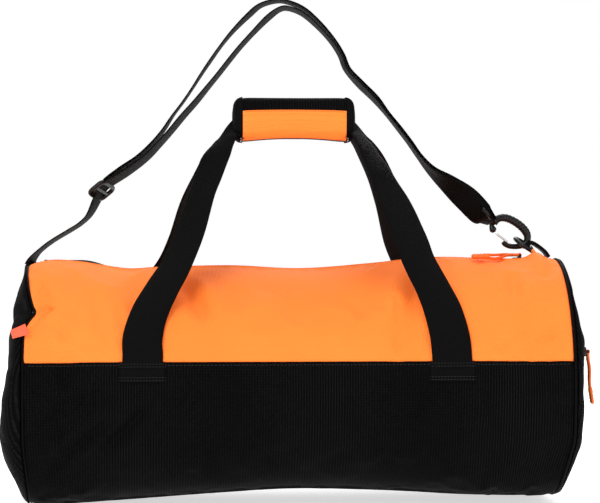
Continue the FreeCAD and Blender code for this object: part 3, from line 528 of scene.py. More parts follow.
def outline():
    """The barrel's closed outline from the crown down the front and round, and the way along it."""
    lean = math.asin((CENTRE - CORNER_RADIUS) / (SIDE_RADIUS - CORNER_RADIUS))
    corner_y = (SIDE_RADIUS - CORNER_RADIUS) * math.cos(lean) - (SIDE_RADIUS - RADIUS)
    half = []
    for centre_y, centre_z, radius, start, end in (
            (0, CENTRE, RADIUS, math.pi / 2, math.pi),
            (SIDE_RADIUS - RADIUS, CENTRE, SIDE_RADIUS, math.pi, math.pi + lean),
            (-corner_y, CORNER_RADIUS, CORNER_RADIUS, math.pi + lean, 1.5 * math.pi)):
        for turn in np.linspace(start, end, 60):
            half.append((centre_y + radius * math.cos(turn), centre_z + radius * math.sin(turn)))
    points = np.array(half + [(-y, z) for y, z in half[::-1]])
    keep = np.concatenate([[True], np.linalg.norm(np.diff(points, axis=0), axis=1) > 1e-6])
    points = points[keep]
    return points, run_along(points)


OUTLINE, RUN = outline()
AROUND = RUN[-1]
FRONT_ZIP = RADIUS * math.asin(-corners("front_upper_panel")[1].y / RADIUS)
REAR_ZIP = AROUND - RADIUS * math.asin(corners("rear_upper_panel")[0].y / RADIUS)
FRONT_SEAM = RADIUS * (math.pi / 2 - math.asin((SEAM_HEIGHT - CENTRE) / RADIUS))
REAR_SEAM = AROUND - FRONT_SEAM

# Along the bag: how far its crown sags and its base lifts.
TOP_SAG = [(-266, 7), (-240, 1), (-212, 2.5), (-190, 6), (-163, 9.5), (-133, 8), (-63, 6.5), (6, 9.5),
           (76, 4.5), (136, -1.5), (200, 0), (232, 0), (266, 1)]
BASE_LIFT = [(-290, 2), (-240, 0), (-170, 4), (-80, 10), (0, 14), (90, 11.5), (170, 7), (240, 6),
             (290, 9)]
# How far the left end seam is drawn in at each height, sharpest at the notch.
NOTCH = [(120, 0), (165, 0.4), (176, 2), (184, 5.4), (190, 9), (194, 10.4), (200, 8.4), (212, 5.2),
         (228, 2), (245, 0)]


def settle(points):
    """Move points of the ideal barrel to where the soft bag really hangs and stands."""
    points = np.array(points, float)
    x, y, z = points[..., 0], points[..., 1], points[..., 2]
    top = ramp(z, 165, 238)
    base = 1 - ramp(z, 8, 95)
    rim = ramp(np.hypot(y, z - CENTRE), 0.72 * RADIUS, 0.97 * RADIUS)
    pinch = through(z, NOTCH) * rim * ramp(-x, 236, 263) * np.where(y < 0, 1, 0.4)
    peak = 6.5 * np.exp(-((x - 243) / 9) ** 2) * ramp(z, 226, 241) * ramp(-y, -9, 4)
    draw_in = np.where(x > 0, 9 * ramp(x, 180, 264), -5 * ramp(-x, 200, 264)) * (1 - ramp(z, 2, 74))
    out = points.copy()
    out[..., 0] = x + pinch - draw_in
    out[..., 1] = y * (1 - 0.004 * pinch)
    out[..., 2] = z - top * through(x, TOP_SAG) + peak + base * base_height(x, y)
    return out


def base_height(x, y):
    """How far the soft base stands off the floor: arched along the bag, rounded across it."""
    return through(x, BASE_LIFT) + 6.5 * ramp(np.abs(y), 20, 80)


def section(around, x, inset=0.0, scale=1.0):
    """Points of the ideal barrel at each distance round it and each x."""
    y = np.interp(around, RUN, OUTLINE[:, 0])
    z = np.interp(around, RUN, OUTLINE[:, 1])
    radius = np.hypot(y, z - CENTRE)
    shrink = scale * (radius - inset) / radius
    return np.stack(np.broadcast_arrays(x, y * shrink, CENTRE + (z - CENTRE) * shrink), axis=-1)


# Folds of the fabric, as (x, distance round) to (x, distance round), half
# width and height; a negative height is a crease.
FOLD_STRENGTH = 1.6
FRONT_FOLDS = [
    ((-122, 40), (-88, 128), 9, -3.2), ((-100, 48), (-72, 120), 10, 1.8),
    ((128, 38), (98, 140), 9, -3.2), ((104, 46), (78, 126), 10, 1.6),
    ((-270, 113), (-232, 106), 5, -4.6), ((-264, 126), (-228, 150), 8, 2.4),
    ((-250, 90), (-205, 128), 9, -1.6), ((-240, 140), (-190, 168), 7, 1.4),
    ((206, 62), (214, 112), 6, -1.5), ((222, 70), (230, 118), 7, 1.5),
    ((224, 128), (186, 158), 6, -1.4), ((262, 118), (226, 150), 7, -1.6),
    ((40, 88), (66, 122), 9, -1.2), ((-30, 80), (-58, 130), 12, 1.2),
    ((-168, 198), (-258, 262), 7, 3.2), ((-172, 212), (-246, 282), 6, -3.0),
    ((-150, 196), (-226, 270), 7, 2.8), ((-140, 200), (-200, 268), 6, -2.8),
    ((-122, 186), (-176, 262), 8, 2.6), ((-108, 184), (-150, 236), 7, -1.8),
    ((-180, 190), (-262, 226), 6, -2.2), ((-186, 184), (-262, 204), 6, 2.0),
    ((128, 196), (96, 250), 8, 1.5), ((168, 198), (196, 262), 8, 1.6),
    ((150, 200), (150, 250), 6, -1.2), ((-20, 190), (30, 236), 10, 1.0),
    ((226, 196), (258, 240), 7, 1.4),
]
REAR_FOLDS = [
    ((-110, 48), (-78, 124), 10, -2.4), ((112, 42), (84, 132), 9, -2.4),
    ((0, 60), (24, 118), 12, 1.4), ((-232, 96), (-196, 130), 9, -1.8),
    ((214, 84), (196, 140), 8, -1.6), ((170, 198), (246, 262), 8, 2.6),
    ((150, 204), (212, 274), 7, -2.2), ((-168, 200), (-230, 256), 8, 2.2),
    ((-140, 204), (-96, 250), 8, -1.6), ((40, 196), (-10, 244), 9, 1.2),
]


def fold_height(x, around, folds):
    """Sum of the folds at points of the cloth."""
    total = 0
    for (x0, s0), (x1, s1), half_width, height in folds:
        dx, ds = x1 - x0, s1 - s0
        length = math.hypot(dx, ds)
        t = ((x - x0) * dx + (around - s0) * ds) / length ** 2
        off = ((x - x0) * ds - (around - s0) * dx) / length
        bend = 0.12 * length * (t - 0.5) ** 2
        fade = ramp(t, -0.12, 0.22) * (1 - ramp(t, 0.62, 1.08))
        total = total + height * fade * np.exp(-((off - bend) / half_width) ** 2)
    return total


def ripple(x, around, scale, seed):
    """Gentle unevenness of stuffed cloth."""
    xs, ss = np.broadcast_arrays(x, around)
    values = [noise.noise(Vector((a / scale, b / scale, seed))) for a, b in zip(xs.ravel(), ss.ravel())]
    return np.array(values).reshape(xs.shape)


FOOT_PLACE, FOOT_WIDTH = 148, 26

# How the barrel's cloth is simulated, and how far it may move from its cut.
CLOTH = {"quality": 7, "mass": 0.25, "tension_stiffness": 25, "compression_stiffness": 25,
         "shear_stiffness": 6, "bending_stiffness": 0.35, "vertex_group_mass": "pins",
         "shrink_min": -0.022, "use_pressure": True, "uniform_pressure_force": 1.2}
CLOTH_FRAMES = 20
CLOTH_LIMIT = 2.8


class Shell:
    """The simulated surface of the barrel, which panels, seams and stitches are laid on."""

    def __init__(self):
        self.around = np.linspace(FRONT_ZIP, REAR_ZIP, 122)
        self.along = np.linspace(-HALF_LENGTH, HALF_LENGTH, 88)
        self.points = self.inflate(settle(section(self.around[:, None], self.along[None, :])))

    def inflate(self, start):
        """Let the cloth swell and buckle between its seams, then cap how far it moved."""
        outward = -grid_normals(start)
        middle = np.array([0, 0, CENTRE])
        outward *= np.sign(np.sum(outward * (start - middle) * [0, 1, 1], axis=2, keepdims=True))
        wobble = ripple(self.along[None, :], self.around[:, None], 46, 3.1)
        begin = start + outward * wobble[..., None] * 1.6
        rows, columns = start.shape[:2]
        mesh = bpy.data.meshes.new("shell_cloth")
        mesh.from_pydata(begin.reshape(-1, 3) * MM, [], quads(rows, columns))
        if np.dot(mesh.polygons[0].normal, outward[0, 0]) < 0:
            mesh.flip_normals()
        cloth = add_object("shell_cloth", mesh)
        # The seams, the ends and the part that lies on the floor are held.
        held = np.zeros((rows, columns), bool)
        held[:, [0, -1]] = True
        held[[0, -1], :] = True
        held |= np.abs(start[..., 1]) < 40 * (start[..., 2] < CENTRE / 2)
        cloth.vertex_groups.new(name="pins").add([int(i) for i in np.flatnonzero(held)], 1.0, "REPLACE")
        modifier = cloth.modifiers.new("cloth", "CLOTH")
        for setting, value in CLOTH.items():
            setattr(modifier.settings, setting, value)
        modifier.settings.effector_weights.gravity = 0
        modifier.collision_settings.use_collision = False
        scene = bpy.context.scene
        for number in range(1, CLOTH_FRAMES + 1):
            scene.frame_set(number)
        seen = cloth.evaluated_get(bpy.context.evaluated_depsgraph_get()).data
        moved = np.empty(rows * columns * 3)
        seen.vertices.foreach_get("co", moved)
        scene.frame_set(1)
        bpy.data.objects.remove(cloth)
        lift = np.sum((moved.reshape(start.shape) / MM - start) * outward, axis=2, keepdims=True)
        lift -= np.median(lift[~held])
        fade = 1 - 0.9 * held[..., None]
        return start + outward * CLOTH_LIMIT * np.tanh(lift / CLOTH_LIMIT) * fade

    def raw(self, around, along):
        """Smoothly resampled surface at rows of distances round and columns of x."""
        result = self.points
        for axis, wanted, known in ((0, around, self.around), (1, along, self.along)):
            last = len(known) - 1
            where = np.interp(wanted, known, np.arange(len(known)))
            index = np.clip(where.astype(int), 0, last - 1)
            t = (where - index).reshape((-1, 1, 1) if axis == 0 else (1, -1, 1))
            result = catmull_rom(*(np.take(result, np.clip(index + k, 0, last), axis=axis)
                                   for k in (-1, 0, 1, 2)), t)
        return result

    def on_side(self, side, around, along):
        """The surface at distances counted from the crown down the front or the rear."""
        return self.surface(around if side == "front" else AROUND - around, along)

    def surface(self, around, along):
        """Points and outward normals with folds and seam puckers."""
        rows, columns = np.size(around), np.size(along)
        around, along = (np.append(values, values + 2.0) if np.size(values) == 1 else np.asarray(values)
                         for values in (around, along))
        points = self.raw(around, along)
        normals = grid_normals(points)
        towards = np.sum(normals * (points - [0, 0, CENTRE]) * [0, 1, 1], axis=2, keepdims=True)
        normals = normals * np.sign(towards)
        s, x = around[:, None], along[None, :]
        lift = FOLD_STRENGTH * (fold_height(x, s, FRONT_FOLDS) + fold_height(x, AROUND - s, REAR_FOLDS))
        edge = 1 - ramp(np.abs(x), HALF_LENGTH - 26, HALF_LENGTH - 2)
        lift = lift * (0.25 + 0.75 * edge)
        for seam in (FRONT_SEAM, REAR_SEAM):
            near = np.exp(-((s - seam) / 9) ** 2)
            pucker = 0.5 * np.sin(x / 3.1 + 2.3 * np.sin(x / 17)) * near
            lift = lift * (1 - 0.85 * near) + pucker * 0.5 - 1.0 * np.exp(-((s - seam) / 2.2) ** 2)
        # No folds where the handles' feet lie.
        foot = np.exp(-(((np.abs(x) - FOOT_PLACE) / FOOT_WIDTH) ** 4)) * sum(
            ramp(way, 108, 130) * (1 - ramp(way, 190, 200)) for way in (s, AROUND - s))
        lift = lift * (1 - foot) - 1.6 * ramp(np.abs(x), HALF_LENGTH - 3.5, HALF_LENGTH)
        points = points + normals * lift[..., None]
        return points[:rows, :columns], normals[:rows, :columns]


# ------------------------------------------------------------ the fabric

PANEL_SPACING = 2.4


def make_panel(shell, name, start, end, finish, slot, node):
    """One fabric panel of the barrel, cut from the simulated surface."""
    around = np.linspace(start, end, int((end - start) / PANEL_SPACING) + 1)
    along = np.linspace(-HALF_LENGTH, HALF_LENGTH, 209)
    points, normals = shell.surface(around, along)
    panel = thick_sheet(name, points, -normals, PANEL_THICKNESS, around, along)
    finish_piece(panel, "bag", finish, slot, node)


def seam_stitches(shell):
    """Top stitching along both seams and the zip's edges."""
    along = np.linspace(-HALF_LENGTH + 4, HALF_LENGTH - 4, 300)

    def rows(name, places, proud, **sizes):
        lines = []
        for around in places:
            points, normals = shell.surface(around, along)
            lines.append((points[0] + normals[0] * proud, normals[0]))
        return stitches(name, lines, **sizes)

    finish_piece(rows("seam_stitching", (FRONT_SEAM + 3.2, REAR_SEAM - 3.2), 0.25, length=2.8, gap=0.9),
                 "bag", "black_thread", "black_fabric")
    finish_piece(rows("zip_edge_stitching", (FRONT_ZIP + 2.2, REAR_ZIP - 2.2), 0.2, length=2.4, gap=1.0,
                      width=0.6), "bag", "cord", "orange_fabric")


def make_barrel():
    shell = Shell()
    for side, start, end in (("front", FRONT_ZIP, FRONT_SEAM), ("rear", REAR_SEAM, REAR_ZIP)):
        make_panel(shell, f"{side}_panel_cloth", start, end, "orange", "orange_fabric",
                   f"{side}_upper_panel")
    make_panel(shell, "base_panel_cloth", FRONT_SEAM, REAR_SEAM, "black", "black_fabric",
               "base_panel")
    seam_stitches(shell)
    return shell


def make_board():
    """The stiffening board, round-cornered and bent with the base."""
    corner, stand = 15, 4.6
    low, high = corners("base_stiffener_board")
    x = np.linspace(low.x, high.x, 97)
    y = np.linspace(low.y, high.y, 25)
    past = (np.abs(x) - high.x + corner).clip(0) / corner
    inset = corner * (1 - np.sqrt(np.clip(1 - past ** 2, 0, 1)))
    xs = np.broadcast_to(x[:, None], (len(x), len(y)))
    ys = y[None, :] * (1 - inset[:, None] / high.y)
    points = np.stack([xs, ys, stand + base_height(xs, ys) + (high.z - low.z)], axis=2)
    board = thick_sheet("base_board", points, np.array([0, 0, -1]), high.z - low.z, x, y)
    finish_piece(board, "bag", "board", "board", "base_stiffener_board")


# Fullness of the end panels: from the middle out, and at each height.
DOME = [(0.0, 1.0), (0.5, 1.0), (0.74, 0.98), (0.86, 0.88), (0.93, 0.7), (0.975, 0.4), (1.0, 0.0)]
LEFT_FULLNESS = [(-5, 0.3), (10, 0.42), (25, 0.6), (50, 0.85), (75, 0.98), (100, 0.84), (135, 0.66),
                 (160, 0.5), (180, 0.42), (200, 0.42), (215, 0.33), (230, 0.14), (245, 0.02)]
RIGHT_FULLNESS = [(-5, 0.3), (20, 0.4), (45, 0.45), (70, 0.5), (95, 0.62), (132, 0.62), (160, 0.68),
                  (174, 0.58), (188, 0.5), (202, 0.34), (216, 0.26), (230, 0.2), (245, 0.15)]
END_RINGS = [1, 0.992, 0.98, 0.965, 0.95, 0.93, 0.9, 0.86, 0.81, 0.75, 0.68, 0.6, 0.5, 0.4, 0.3, 0.2,
             0.1, 0.03]


def make_end(side, sign, bulge, fullness, creases):
    """A domed end panel with creases (place round, width, height) that run in from its seam."""
    rim = corners(f"{side}_end_panel")
    start = min(abs(rim[0].x), abs(rim[1].x)) + 2.2
    around = np.linspace(0, AROUND, 240, endpoint=False)
    scales = np.array(END_RINGS)
    ideal = section(around[None, :], sign * start, scale=scales[:, None])
    rise = through(scales, DOME)[:, None] * bulge * through(ideal[..., 2], fullness)
    unevenness = ripple(ideal[..., 1], ideal[..., 2], 38, 7.7 * sign)
    shade = (1 - np.abs(2 * scales - 1.55).clip(0, 1))[:, None]
    radial = np.zeros_like(rise)
    for centre, width, height in creases:
        gap = (around - centre + AROUND / 2) % AROUND - AROUND / 2
        reach = gap[None, :] + 14 * (1 - scales[:, None])
        radial = radial + height * np.exp(-(reach / width) ** 2) * shade
    inner = ramp(scales, 1.0, 0.93)[:, None]
    ideal[..., 0] += sign * (rise + (1.3 * unevenness + radial) * inner)
    points = settle(ideal)
    centre = points[-1].mean(axis=0)
    offset = points.copy()
    offset[..., 0] -= sign * END_THICKNESS
    offset[0] = settle(section(around, sign * (start - 0.4), inset=END_THICKNESS))
    rows, columns = points.shape[:2]
    count = rows * columns
    faces = quads(rows, columns, wrap_columns=True)
    faces += quads(rows, columns, count, wrap_columns=True, flip=True)
    last = (rows - 1) * columns
    for j, k in zip(range(columns), [*range(1, columns), 0]):
        faces += [(last + j, last + k, 2 * count), (count + last + k, count + last + j, 2 * count + 1),
                  (j, count + j, count + k, k)]
    ends = np.array([centre, centre - [sign * END_THICKNESS, 0, 0]])
    vertices = np.concatenate([points.reshape(-1, 3), offset.reshape(-1, 3), ends])
    dome = add_mesh(f"{side}_end_cloth", vertices, faces, vertices[:, 1:])
    finish_piece(dome, "bag", "black", "black_fabric", f"{side}_end_panel")


def make_seam(side, sign, sunk):
    """An end seam's piping, and the binding tape inside it."""
    middle = sign * (HALF_LENGTH + 0.7)
    line = settle(section(np.linspace(0, AROUND, 360, endpoint=False), middle, inset=sunk))
    piping = tube(f"{side}_piping_cord", line, PIPING_RADIUS, closed=True)
    finish_piece(piping, "bag", "webbing", "black_fabric", f"{side}_end_piping")

    low, high = corners(f"{side}_seam_binding")
    x = np.linspace(low.x, high.x, 5)
    around = np.linspace(FRONT_ZIP + 6, REAR_ZIP - 6, 220)
    points = settle(section(around[:, None], x[None, :], inset=6.0))
    inward = unit(np.array([0, 0, CENTRE]) - points * [0, 1, 1])
    binding = thick_sheet(f"{side}_binding_tape", points, inward, 0.8, around, x)
    finish_piece(binding, "bag", "tape", "black_webbing", f"{side}_seam_binding")


def make_ribbon_tab():
    """The short ribbon folded into the left end seam, hanging a little."""
    low = corners("left_ribbon_tab")[0]
    middle = centre_of("left_ribbon_tab")[2]
    root = -HALF_LENGTH + 3.5
    centres, towards = [], []
    for part in np.linspace(0, 1, 24):
        x = root + (low.x - root) * part
        arch = 1.6 * math.sin(math.pi * min(part * 1.1, 1))
        centres.append((x, low.y + 1.2 + 3.5 * part - arch, middle + 3.4 - 5.2 * part))
        towards.append((-0.3 * part, -1, 0.25))
    half = np.linspace(5.4, 4.4, len(centres))
    tab = ribbon("ribbon_tab", centres, np.array(towards), half, 1.3, cup=0.3)
    finish_piece(tab, "bag", "coral", "coral_ribbon", "left_ribbon_tab")


def make_lining():
    """The pocket's lining, drawn in at its foot as the end panel is."""
    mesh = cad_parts["end_pocket_lining"].data.copy()
    mesh.materials.clear()
    places = np.empty(len(mesh.vertices) * 3)
    mesh.vertices.foreach_get("co", places)
    places = places.reshape(-1, 3)
    places[:, 0] -= MM * (1.5 + 10 * (1 - ramp(places[:, 2] / MM, 4, 96)))
    mesh.vertices.foreach_set("co", places.ravel())
    mesh.update()
    finish_piece(add_object("pocket_lining_cloth", mesh), "bag", "lining", "lining", "end_pocket_lining")


def make_ends():
    make_end("left", -1, 22, LEFT_FULLNESS,
             [(96, 9, -2.6), (130, 10, 1.8), (168, 8, -1.6), (210, 12, 1.6), (250, 9, -1.8), (300, 10, 1.4),
              (AROUND - 100, 9, -2.2), (AROUND - 180, 10, 1.6), (AROUND - 260, 9, -1.6), (20, 10, -1.4)])
    make_seam("left", -1, 2.6)
    make_end("right", 1, 16, RIGHT_FULLNESS,
             [(90, 8, -1.6), (140, 9, 1.2), (200, 9, -1.4), (262, 9, 1.2), (AROUND - 90, 8, -1.5),
              (AROUND - 190, 9, 1.3), (AROUND - 250, 9, -1.3)])
    make_seam("right", 1, 0.9)
    make_ribbon_tab()
    make_lining()


def paint(node, finish):
    """Give a CAD node a finish in all of its material slots."""
    node.data.materials.clear()
    node.data.materials.append(MATERIALS[finish])


# ---------------------------------------------------------------- zips

TEETH_PITCH = 1.55
TOOTH_SIZE = (1.15, 3.5, 1.9)
STOP_SIZE = (3.0, 6.2, 2.4)


def beads(name, centres, along, up, size):
    """Small rounded blocks, one at each centre: zip teeth."""
    shape = []
    for x, wide in ((-0.5, 0.72), (-0.28, 1), (0.28, 1), (0.5, 0.72)):
        for y, z in ((-0.5, -0.5), (-0.5, 0.2), (-0.28, 0.5), (0.28, 0.5), (0.5, 0.2), (0.5, -0.5)):
            shape.append((x, y * wide, z * wide))
    shape = np.array(shape) * size
    cell = quads(4, 6, wrap_columns=True) + [(5, 4, 3, 2, 1, 0), tuple(range(18, 24))]
    across = np.cross(up, along)
    basis = np.stack([along, across, up], axis=1)
    points = centres[:, None] + np.einsum("kc,ncd->nkd", shape, basis)
    faces = [tuple(24 * n + k for k in face) for n in range(len(centres)) for face in cell]
    return add_mesh(name, points.reshape(-1, 3), faces)


def zip_rows(prefix, place, half_length, names):
    """Tapes, coil teeth and end stops, laid where place(along, across, height) says."""
    def laid(steps, across, height):
        """Places on the zip, with the directions along it and up from it."""
        here, ahead, above = (np.array([place(a + step, across, height + rise) for a in steps])
                              for step, rise in ((0, 0), (1, 0), (0, 1)))
        return here, unit(ahead - here), unit(above - here)

    for name, side in zip(names, (-1, 1)):
        reach = np.linspace(-half_length - 7, half_length + 7, 220)
        across = side * np.linspace(1.0, 13.0, 9)
        points = np.array([[place(a, b, 0.4 + 0.25 * math.cos(b)) for b in across] for a in reach])
        lift = np.array([[place(a, b, 1.4) for b in across] for a in reach]) - points
        tape = thick_sheet(f"{prefix}_cloth_tape_{name}", points, -unit(lift), TAPE_THICKNESS, reach, across)
        finish_piece(tape, "bag", "tape", "zip_tape", f"{prefix}_tape_{name}")
        steps = np.arange(-half_length, half_length, TEETH_PITCH) + (TEETH_PITCH / 2 if side > 0 else 0)
        teeth = beads(f"{prefix}_coil_{name}", *laid(steps, side * 1.65, 1.7), TOOTH_SIZE)
        finish_piece(teeth, "bag", "teeth", "zip_teeth", f"{prefix}_teeth_{name}")
    stops = beads(f"{prefix}_stops", *laid((-half_length - 1.7, half_length + 1.7), 0, 1.8), STOP_SIZE)
    finish_piece(stops, "bag", "black_metal", "black_metal", f"{prefix}_end_stops")


# A cord pull in its own frame, x away from the slider: its eye and its tongue
# as (centre, half width, half height), and the route of one strand.
PULL_EYE = [((-1.9, 0, 0), 2.0, 0.5), ((-1.7, 0, 0), 3.0, 1.6), ((0, 0, 0), 3.2, 2.2),
            ((2.2, 0, 0), 3.1, 1.7), ((4.5, 0, 0.1), 3.0, 1.5), ((7.5, 0, 0.2), 3.2, 1.7),
            ((8.8, 0, 0.2), 2.9, 1.5), ((9.1, 0, 0.2), 1.4, 0.6)]
PULL_TONGUE = [((34.8, 0, -0.4), 1.6, 0.8), ((35.2, 0, -0.4), 3.0, 1.6), ((37, 0, -0.4), 3.6, 2.0),
               ((40, 0, -0.5), 3.9, 2.1), ((42, 0, -0.6), 4.0, 1.7), ((43.2, 0, -0.6), 4.1, 2.1),
               ((44.6, 0, -0.7), 4.2, 1.7), ((45.8, 0, -0.8), 4.3, 2.1), ((47.2, 0, -0.8), 4.3, 1.7),
               ((49, 0, -0.9), 4.3, 2.0), ((51, 0, -0.9), 3.6, 1.6), ((51.9, 0, -0.9), 1.8, 0.7)]
PULL_STRAND = [(8.0, 1.9, 0.2), (14, 2.3, 1.0), (20, 2.6, 0.9), (27, 2.4, 0.1), (32, 2.0, -0.4),
               (36, 1.8, -0.4)]


def make_pull(prefix, body, turn, plump=1.0):
    """A cord pull, placed by turn(x, y, z)."""
    def moulding(label, stations, size, node):
        part = loft(f"{prefix}_pull_{label}", [(turn(*place), wide * size, high * size)
                                               for place, wide, high in stations])
        finish_piece(part, body, "orange_moulding", "orange_moulding", f"{prefix}_pull_{node}")

    moulding("eye", PULL_EYE, 1.0, "connector")
    for side, nodes in ((-1, [f"{prefix}_pull_cord"]), (1, [])):
        line = [turn(x, side * y, z) for x, y, z in PULL_STRAND]
        strand = tube(f"{prefix}_pull_strand_{side + 1}", smooth_line(line, 40), 1.4, sides=12)
        finish_piece(strand, body, "cord", "orange_cord", *nodes)
    moulding("tongue", PULL_TONGUE, plump, "grip")


def make_zips():
    """The main zip along the sagging crown and the pocket zip across the right end."""
    base = corners("main_zip_tape_front")[0].z
    middle_y = (corners("main_zip_teeth_front")[1].y + corners("main_zip_teeth_rear")[0].y) / 2

    def along_crown(a, b, height):
        point = np.array([a, middle_y + b, base + height])
        # Level at the left end for the slider, but the tapes' edges stay under the cloth.
        under_cloth = float(ramp(abs(b), 5, 9))
        sags = max(ramp(a, -214, -180), under_cloth)
        point[2] -= float(through(a, TOP_SAG) * 0.92 * sags) + 0.7 * under_cloth
        return point

    zip_rows("main_zip", along_crown, corners("main_zip_teeth_front")[1].x, ("front", "rear"))
    face_x = corners("pocket_zip_tape_lower")[0].x
    middle_z = (corners("pocket_zip_teeth_lower")[1].z + corners("pocket_zip_teeth_upper")[0].z) / 2

    def across_end(a, b, height):
        return np.array([face_x + height, a, middle_z + b])

    zip_rows("pocket_zip", across_end, corners("pocket_zip_teeth_lower")[1].y, ("lower", "upper"))

    eye = centre_of("main_zip_pull_connector")
    eye[0] = corners("main_zip_pull_connector")[1].x - 2.2

    def over_the_crown(x, y, z):
        """The pull has slipped a little down the front, rolled so that its face shows."""
        slip = float(ramp(x, 5, 36))
        roll = math.radians(58) * slip
        sag = 0.6 * slip + 1.2 * math.sin(math.pi * min(max((x - 8) / 28, 0), 1))
        return eye + [-x, -27 * slip + y * math.cos(roll) - z * math.sin(roll),
                      y * math.sin(roll) + z * math.cos(roll) - sag]

    make_pull("main_zip", "main_pull", over_the_crown, plump=1.35)
    hang = centre_of("pocket_zip_pull_connector")
    hang[2] = corners("pocket_zip_pull_connector")[1].z - 2.2
    make_pull("pocket_zip", "pocket_pull", lambda x, y, z: hang + [z + 0.0022 * x * x, y, -x])
    for node in ("main_zip_slider", "pocket_zip_slider"):
        paint(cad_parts[node], "black_metal")

    low, high = corners("right_zip_end_tab")
    peak = loft("zip_end_peak", [((high.x - back, middle_y, low.z + up), wide, deep)
                                 for back, up, wide, deep in (
                                     (2.5, -2.5, 5.5, 2.6), (2.7, 1, 5.2, 2.5), (3.4, 4.5, 4.6, 2.1),
                                     (4.2, 7.2, 3.4, 1.5), (4.6, 8.4, 1.6, 0.6))], power=2.6)
    finish_piece(peak, "bag", "orange", "orange_fabric", "right_zip_end_tab")


# -------------------------------------------------------------- handles

# Each leg as (x, height, half the width seen); the webbing turns partly
# edge-on where it looks narrower than it is.
LEGS = {
    ("front", "left"): [(-151, 138, 19.2), (-150.5, 150, 19.2), (-150.5, 166, 19), (-144, 191, 17.6),
                        (-132, 214, 16.4), (-119, 236, 15.6), (-105.5, 267, 15), (-94.5, 302, 14),
                        (-86.5, 322, 14), (-79, 342, 14.2), (-70, 357, 12), (-60, 369, 12)],
    ("front", "right"): [(145, 138, 19.2), (144.5, 150, 19.2), (143, 166, 19.2), (138, 192, 18.4),
                         (130, 213, 17.6), (121.5, 231, 17.6), (116, 244, 17.6), (112, 258, 17.6),
                         (107, 272, 17.4), (102, 286, 17), (96.3, 300, 16.4), (90.3, 314, 15),
                         (84.5, 328, 13.4), (77, 342, 12.4), (70, 356, 11.5), (58, 370, 12)],
    ("rear", "left"): [(-150, 138, 19.2), (-150, 152, 19.2), (-149, 168, 19), (-145, 191, 18),
                       (-133, 214, 17), (-119.5, 238, 16), (-109.5, 264, 15.2), (-100, 298, 14),
                       (-87.5, 325, 13.6), (-77.5, 345, 13), (-69, 359, 12), (-60, 369, 12)],
    ("rear", "right"): [(149, 138, 19.2), (149, 152, 19.2), (148, 168, 19), (145, 191, 18),
                        (136, 214, 16.5), (122, 238, 15.2), (113, 258, 15), (105.5, 286, 15),
                        (101, 300, 14.6), (92, 322, 13.5), (80, 345, 12.5), (70, 359, 12), (59, 369, 12)],
}
WEBBING_HALF = 19.2
# The height where a leg leaves the barrel, and (y, z) where it meets the grip.
LEAVES_BARREL = 177.0
NECK = (-10.5, 372.0)


def leg_stations(shell, side, end):
    """Stations up one leg of a handle: centre, facing direction, half width."""
    depth = 1 if side == "front" else -1
    sign = 1 if end == "right" else -1
    start_y = -math.sqrt((RADIUS + 5.5) ** 2 - (LEAVES_BARREL - CENTRE) ** 2)
    across = np.linspace(-18, 18, 7)
    stations = []
    for x, z, seen in LEGS[side, end]:
        if z < LEAVES_BARREL:
            around = RADIUS * math.acos((z - CENTRE) / RADIUS)
            under, normals = shell.on_side(side, around, x + across)
            towards = normals[0, 3]
            # Clear of the highest cloth under its width, and more so higher up.
            highest = np.max((under[0] - under[0, 3]) @ towards)
            centre = under[0, 3] + towards * (highest + 1.6 + 2.6 * float(ramp(z, 146, 176)))
            centre[0] = x
        else:
            rise = (z - LEAVES_BARREL) / (NECK[1] - LEAVES_BARREL)
            centre = np.array([x, depth * (start_y + (NECK[0] - start_y) * rise), z])
            towards = np.array([0, -0.89 * depth, 0.45])
        loose = float(ramp(z, 196, 262))
        width = seen + (WEBBING_HALF - seen) * loose
        turn = math.acos(min(seen / width, 1))
        towards = towards * math.cos(turn) + np.array([sign, 0, 0]) * math.sin(turn)
        folded = 1 - 0.3 * float(ramp(z, 345, 370))
        stations.append([*centre, *unit(towards), width * folded])
    return stations


def make_handle(shell, side):
    """One length of webbing from foot to foot, through the grip."""
    depth = 1 if side == "front" else -1
    across = [[x, NECK[0] * depth, 374.5, 0, -depth, 0, 13.4] for x in (-38, -14, 14, 38)]
    line = smooth_line(leg_stations(shell, side, "left") + across
                       + leg_stations(shell, side, "right")[::-1], 300)
    handle = ribbon(f"{side}_handle_strap", line[:, :3], unit(line[:, 3:6]), line[:, 6],
                    WEBBING_THICKNESS, cup=0.5, across=14)
    finish_piece(handle, None, "webbing", "black_webbing", f"{side}_handle_webbing")
    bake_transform(handle)


def make_patches(shell):
    """Stitched patches on the base panel that hold the handles' feet."""
    for side in ("front", "rear"):
        for end in ("left", "right"):
            label = f"{side}_{end}_anchor_patch"
            low, high = corners(label)
            middle = LEGS[side, end][0][0]
            top = FRONT_SEAM + (CAD_SEAM_HEIGHT - high.z) - 1.4
            bottom = FRONT_SEAM + (CAD_SEAM_HEIGHT - low.z) + 1.0
            around = np.linspace(top, bottom, 12)
            along = np.linspace(middle - 21.5, middle + 21.5, 30)
            points, normals = shell.on_side(side, around, along)
            edge = 1 - (np.abs(np.linspace(-1, 1, 30)) ** 14)[None, :, None] * 0.5
            patch = thick_sheet(f"{label}_cloth", points + normals * 1.9 * edge, -normals,
                                WEBBING_THICKNESS, around, along)
            finish_piece(patch, "bag", "webbing", "black_webbing", label)
            lines = []
            run = np.linspace(-23.5, 23.5, 40)
            raised = 2.05 * (1 - ramp(np.abs(run), 20.5, 22.5))[:, None] + 0.3
            for row in (top + 1.6, top + 4.2, bottom - 4.4, bottom - 1.8):
                points, normals = shell.on_side(side, row, middle + run)
                lines.append((points[0] + normals[0] * raised, normals[0]))
            rows = stitches(f"{label}_stitching", lines, length=2.2, gap=0.8, width=0.8)
            finish_piece(rows, "bag", "black_thread", "black_webbing")


